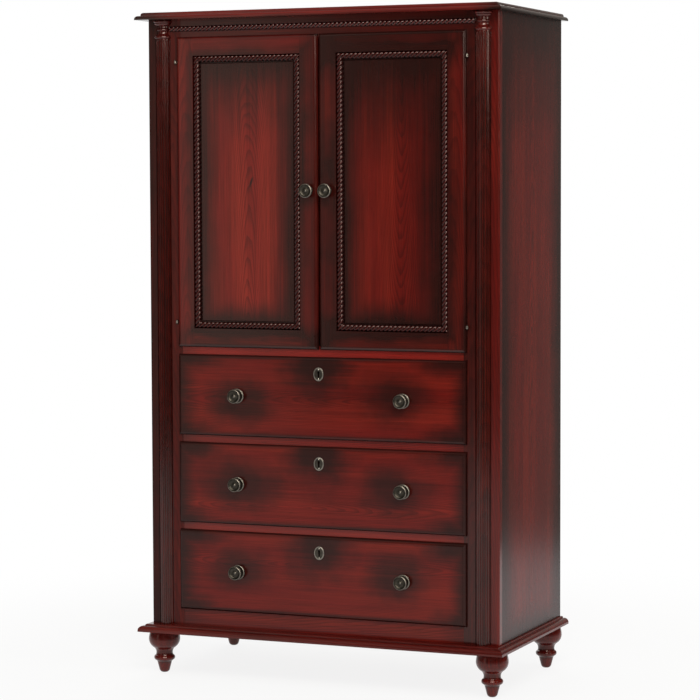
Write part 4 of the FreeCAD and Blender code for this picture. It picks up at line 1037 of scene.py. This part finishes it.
def lay_floor():
    """Pale floor that looks white, apart from a soft shadow near the object."""
    material, tree, output = bare_material("pale_floor")
    plain = tree.nodes.new("ShaderNodeBsdfDiffuse")
    plain.inputs["Color"].default_value = FLOOR_PAINT
    white = tree.nodes.new("ShaderNodeEmission")
    blend = tree.nodes.new("ShaderNodeMixShader")
    place = tree.nodes.new("ShaderNodeTexCoord")
    far = tree.nodes.new("ShaderNodeVectorMath")
    far.operation = "LENGTH"
    tree.links.new(place.outputs["Object"], far.inputs[0])
    near = Signal(tree, far.outputs["Value"]).step(FLOOR_SHADOW_FAR, FLOOR_SHADOW_NEAR)
    feed(tree, blend.inputs[0], seen_rays(tree) * (1.0 - near * FLOOR_SHADOW_SHARE))
    tree.links.new(plain.outputs[0], blend.inputs[1])
    tree.links.new(white.outputs[0], blend.inputs[2])
    tree.links.new(blend.outputs[0], output.inputs["Surface"])
    mesh = bpy.data.meshes.new("floor")
    reach = FLOOR_HALF
    mesh.from_pydata([(-reach, -reach, 0), (reach, -reach, 0), (reach, reach, 0), (-reach, reach, 0)], [],
                     [(0, 1, 2, 3)])
    mesh.materials.append(material)
    floor = bpy.data.objects.new("floor", mesh)
    bpy.context.scene.collection.objects.link(floor)
    bpy.context.scene.view_settings.view_transform = "Standard"


def hang_cloth(name, points, faces, grey):
    """Cloth of one grey that only reflections see."""
    material, tree, output = bare_material(name)
    cloth = tree.nodes.new("ShaderNodeEmission")
    cloth.inputs["Color"].default_value = (*WARM_WHITE, 1.0)
    cloth.inputs["Strength"].default_value = grey
    tree.links.new(cloth.outputs[0], output.inputs["Surface"])
    mesh = bpy.data.meshes.new(name)
    mesh.from_pydata(points, [], faces)
    mesh.materials.append(material)
    curtain = bpy.data.objects.new(name, mesh)
    for ray in ("camera", "diffuse", "transmission", "volume_scatter", "shadow"):
        setattr(curtain, "visible_" + ray, False)
    bpy.context.scene.collection.objects.link(curtain)


def hang_curtains():
    """Curtains on parts of a circle round the object, as walls of angle by height."""
    for name, start, end, radius, grey in CURTAINS:
        turn = np.radians(np.linspace(start, end, CURTAIN_POINTS))
        foot = np.stack([radius * np.cos(turn), radius * np.sin(turn), np.zeros(turn.size)], axis=-1)
        points = np.concatenate([foot, foot + (0.0, 0.0, CURTAIN_HEIGHT)])
        here = np.arange(turn.size - 1)
        faces = np.stack([here, here + 1, here + 1 + turn.size, here + turn.size], axis=-1)
        hang_cloth(name, points.tolist(), faces.tolist(), grey)


def hang_ceiling():
    """Round cloth overhead, as one polygon of points at equal angles."""
    turn = np.linspace(0.0, 2 * np.pi, CEILING_POINTS, endpoint=False)
    rim = np.stack([CEILING_RADIUS * np.cos(turn), CEILING_RADIUS * np.sin(turn),
                    np.full(turn.size, CEILING_Z)], axis=-1)
    hang_cloth("ceiling_cloth", rim.tolist(), [list(range(turn.size))], CEILING_GREY)


def hang_bright_cloth():
    """Bright square that faces the front of the object from the upper right."""
    look = (BRIGHT_AIM - BRIGHT_PLACE).normalized()
    across = look.cross(Vector((0.0, 0.0, 1.0))).normalized() * BRIGHT_HALF
    up = across.cross(look).normalized() * BRIGHT_HALF
    corners = [BRIGHT_PLACE - across - up, BRIGHT_PLACE + across - up, BRIGHT_PLACE + across + up,
               BRIGHT_PLACE - across + up]
    hang_cloth("bright_cloth", corners, [(0, 1, 2, 3)], BRIGHT_STRENGTH)


place_camera()
light_studio()
light_background()
lay_floor()
hang_curtains()
hang_ceiling()
hang_bright_cloth()
dress_top()
dress_base()
dress_rails()
for case_side, case_sign in SIDES.items():
    dress_side_panel(case_side, case_sign)
    dress_post(case_side, case_sign)
    dress_column(case_side, case_sign)
    dress_door(case_side, case_sign)
dress_drawers()
dress_inside()
dress_knobs()
dress_keyholes()
dress_hinges()
dress_small_fittings()
carve_ropes()
escutcheon_pins()
strike_plates()
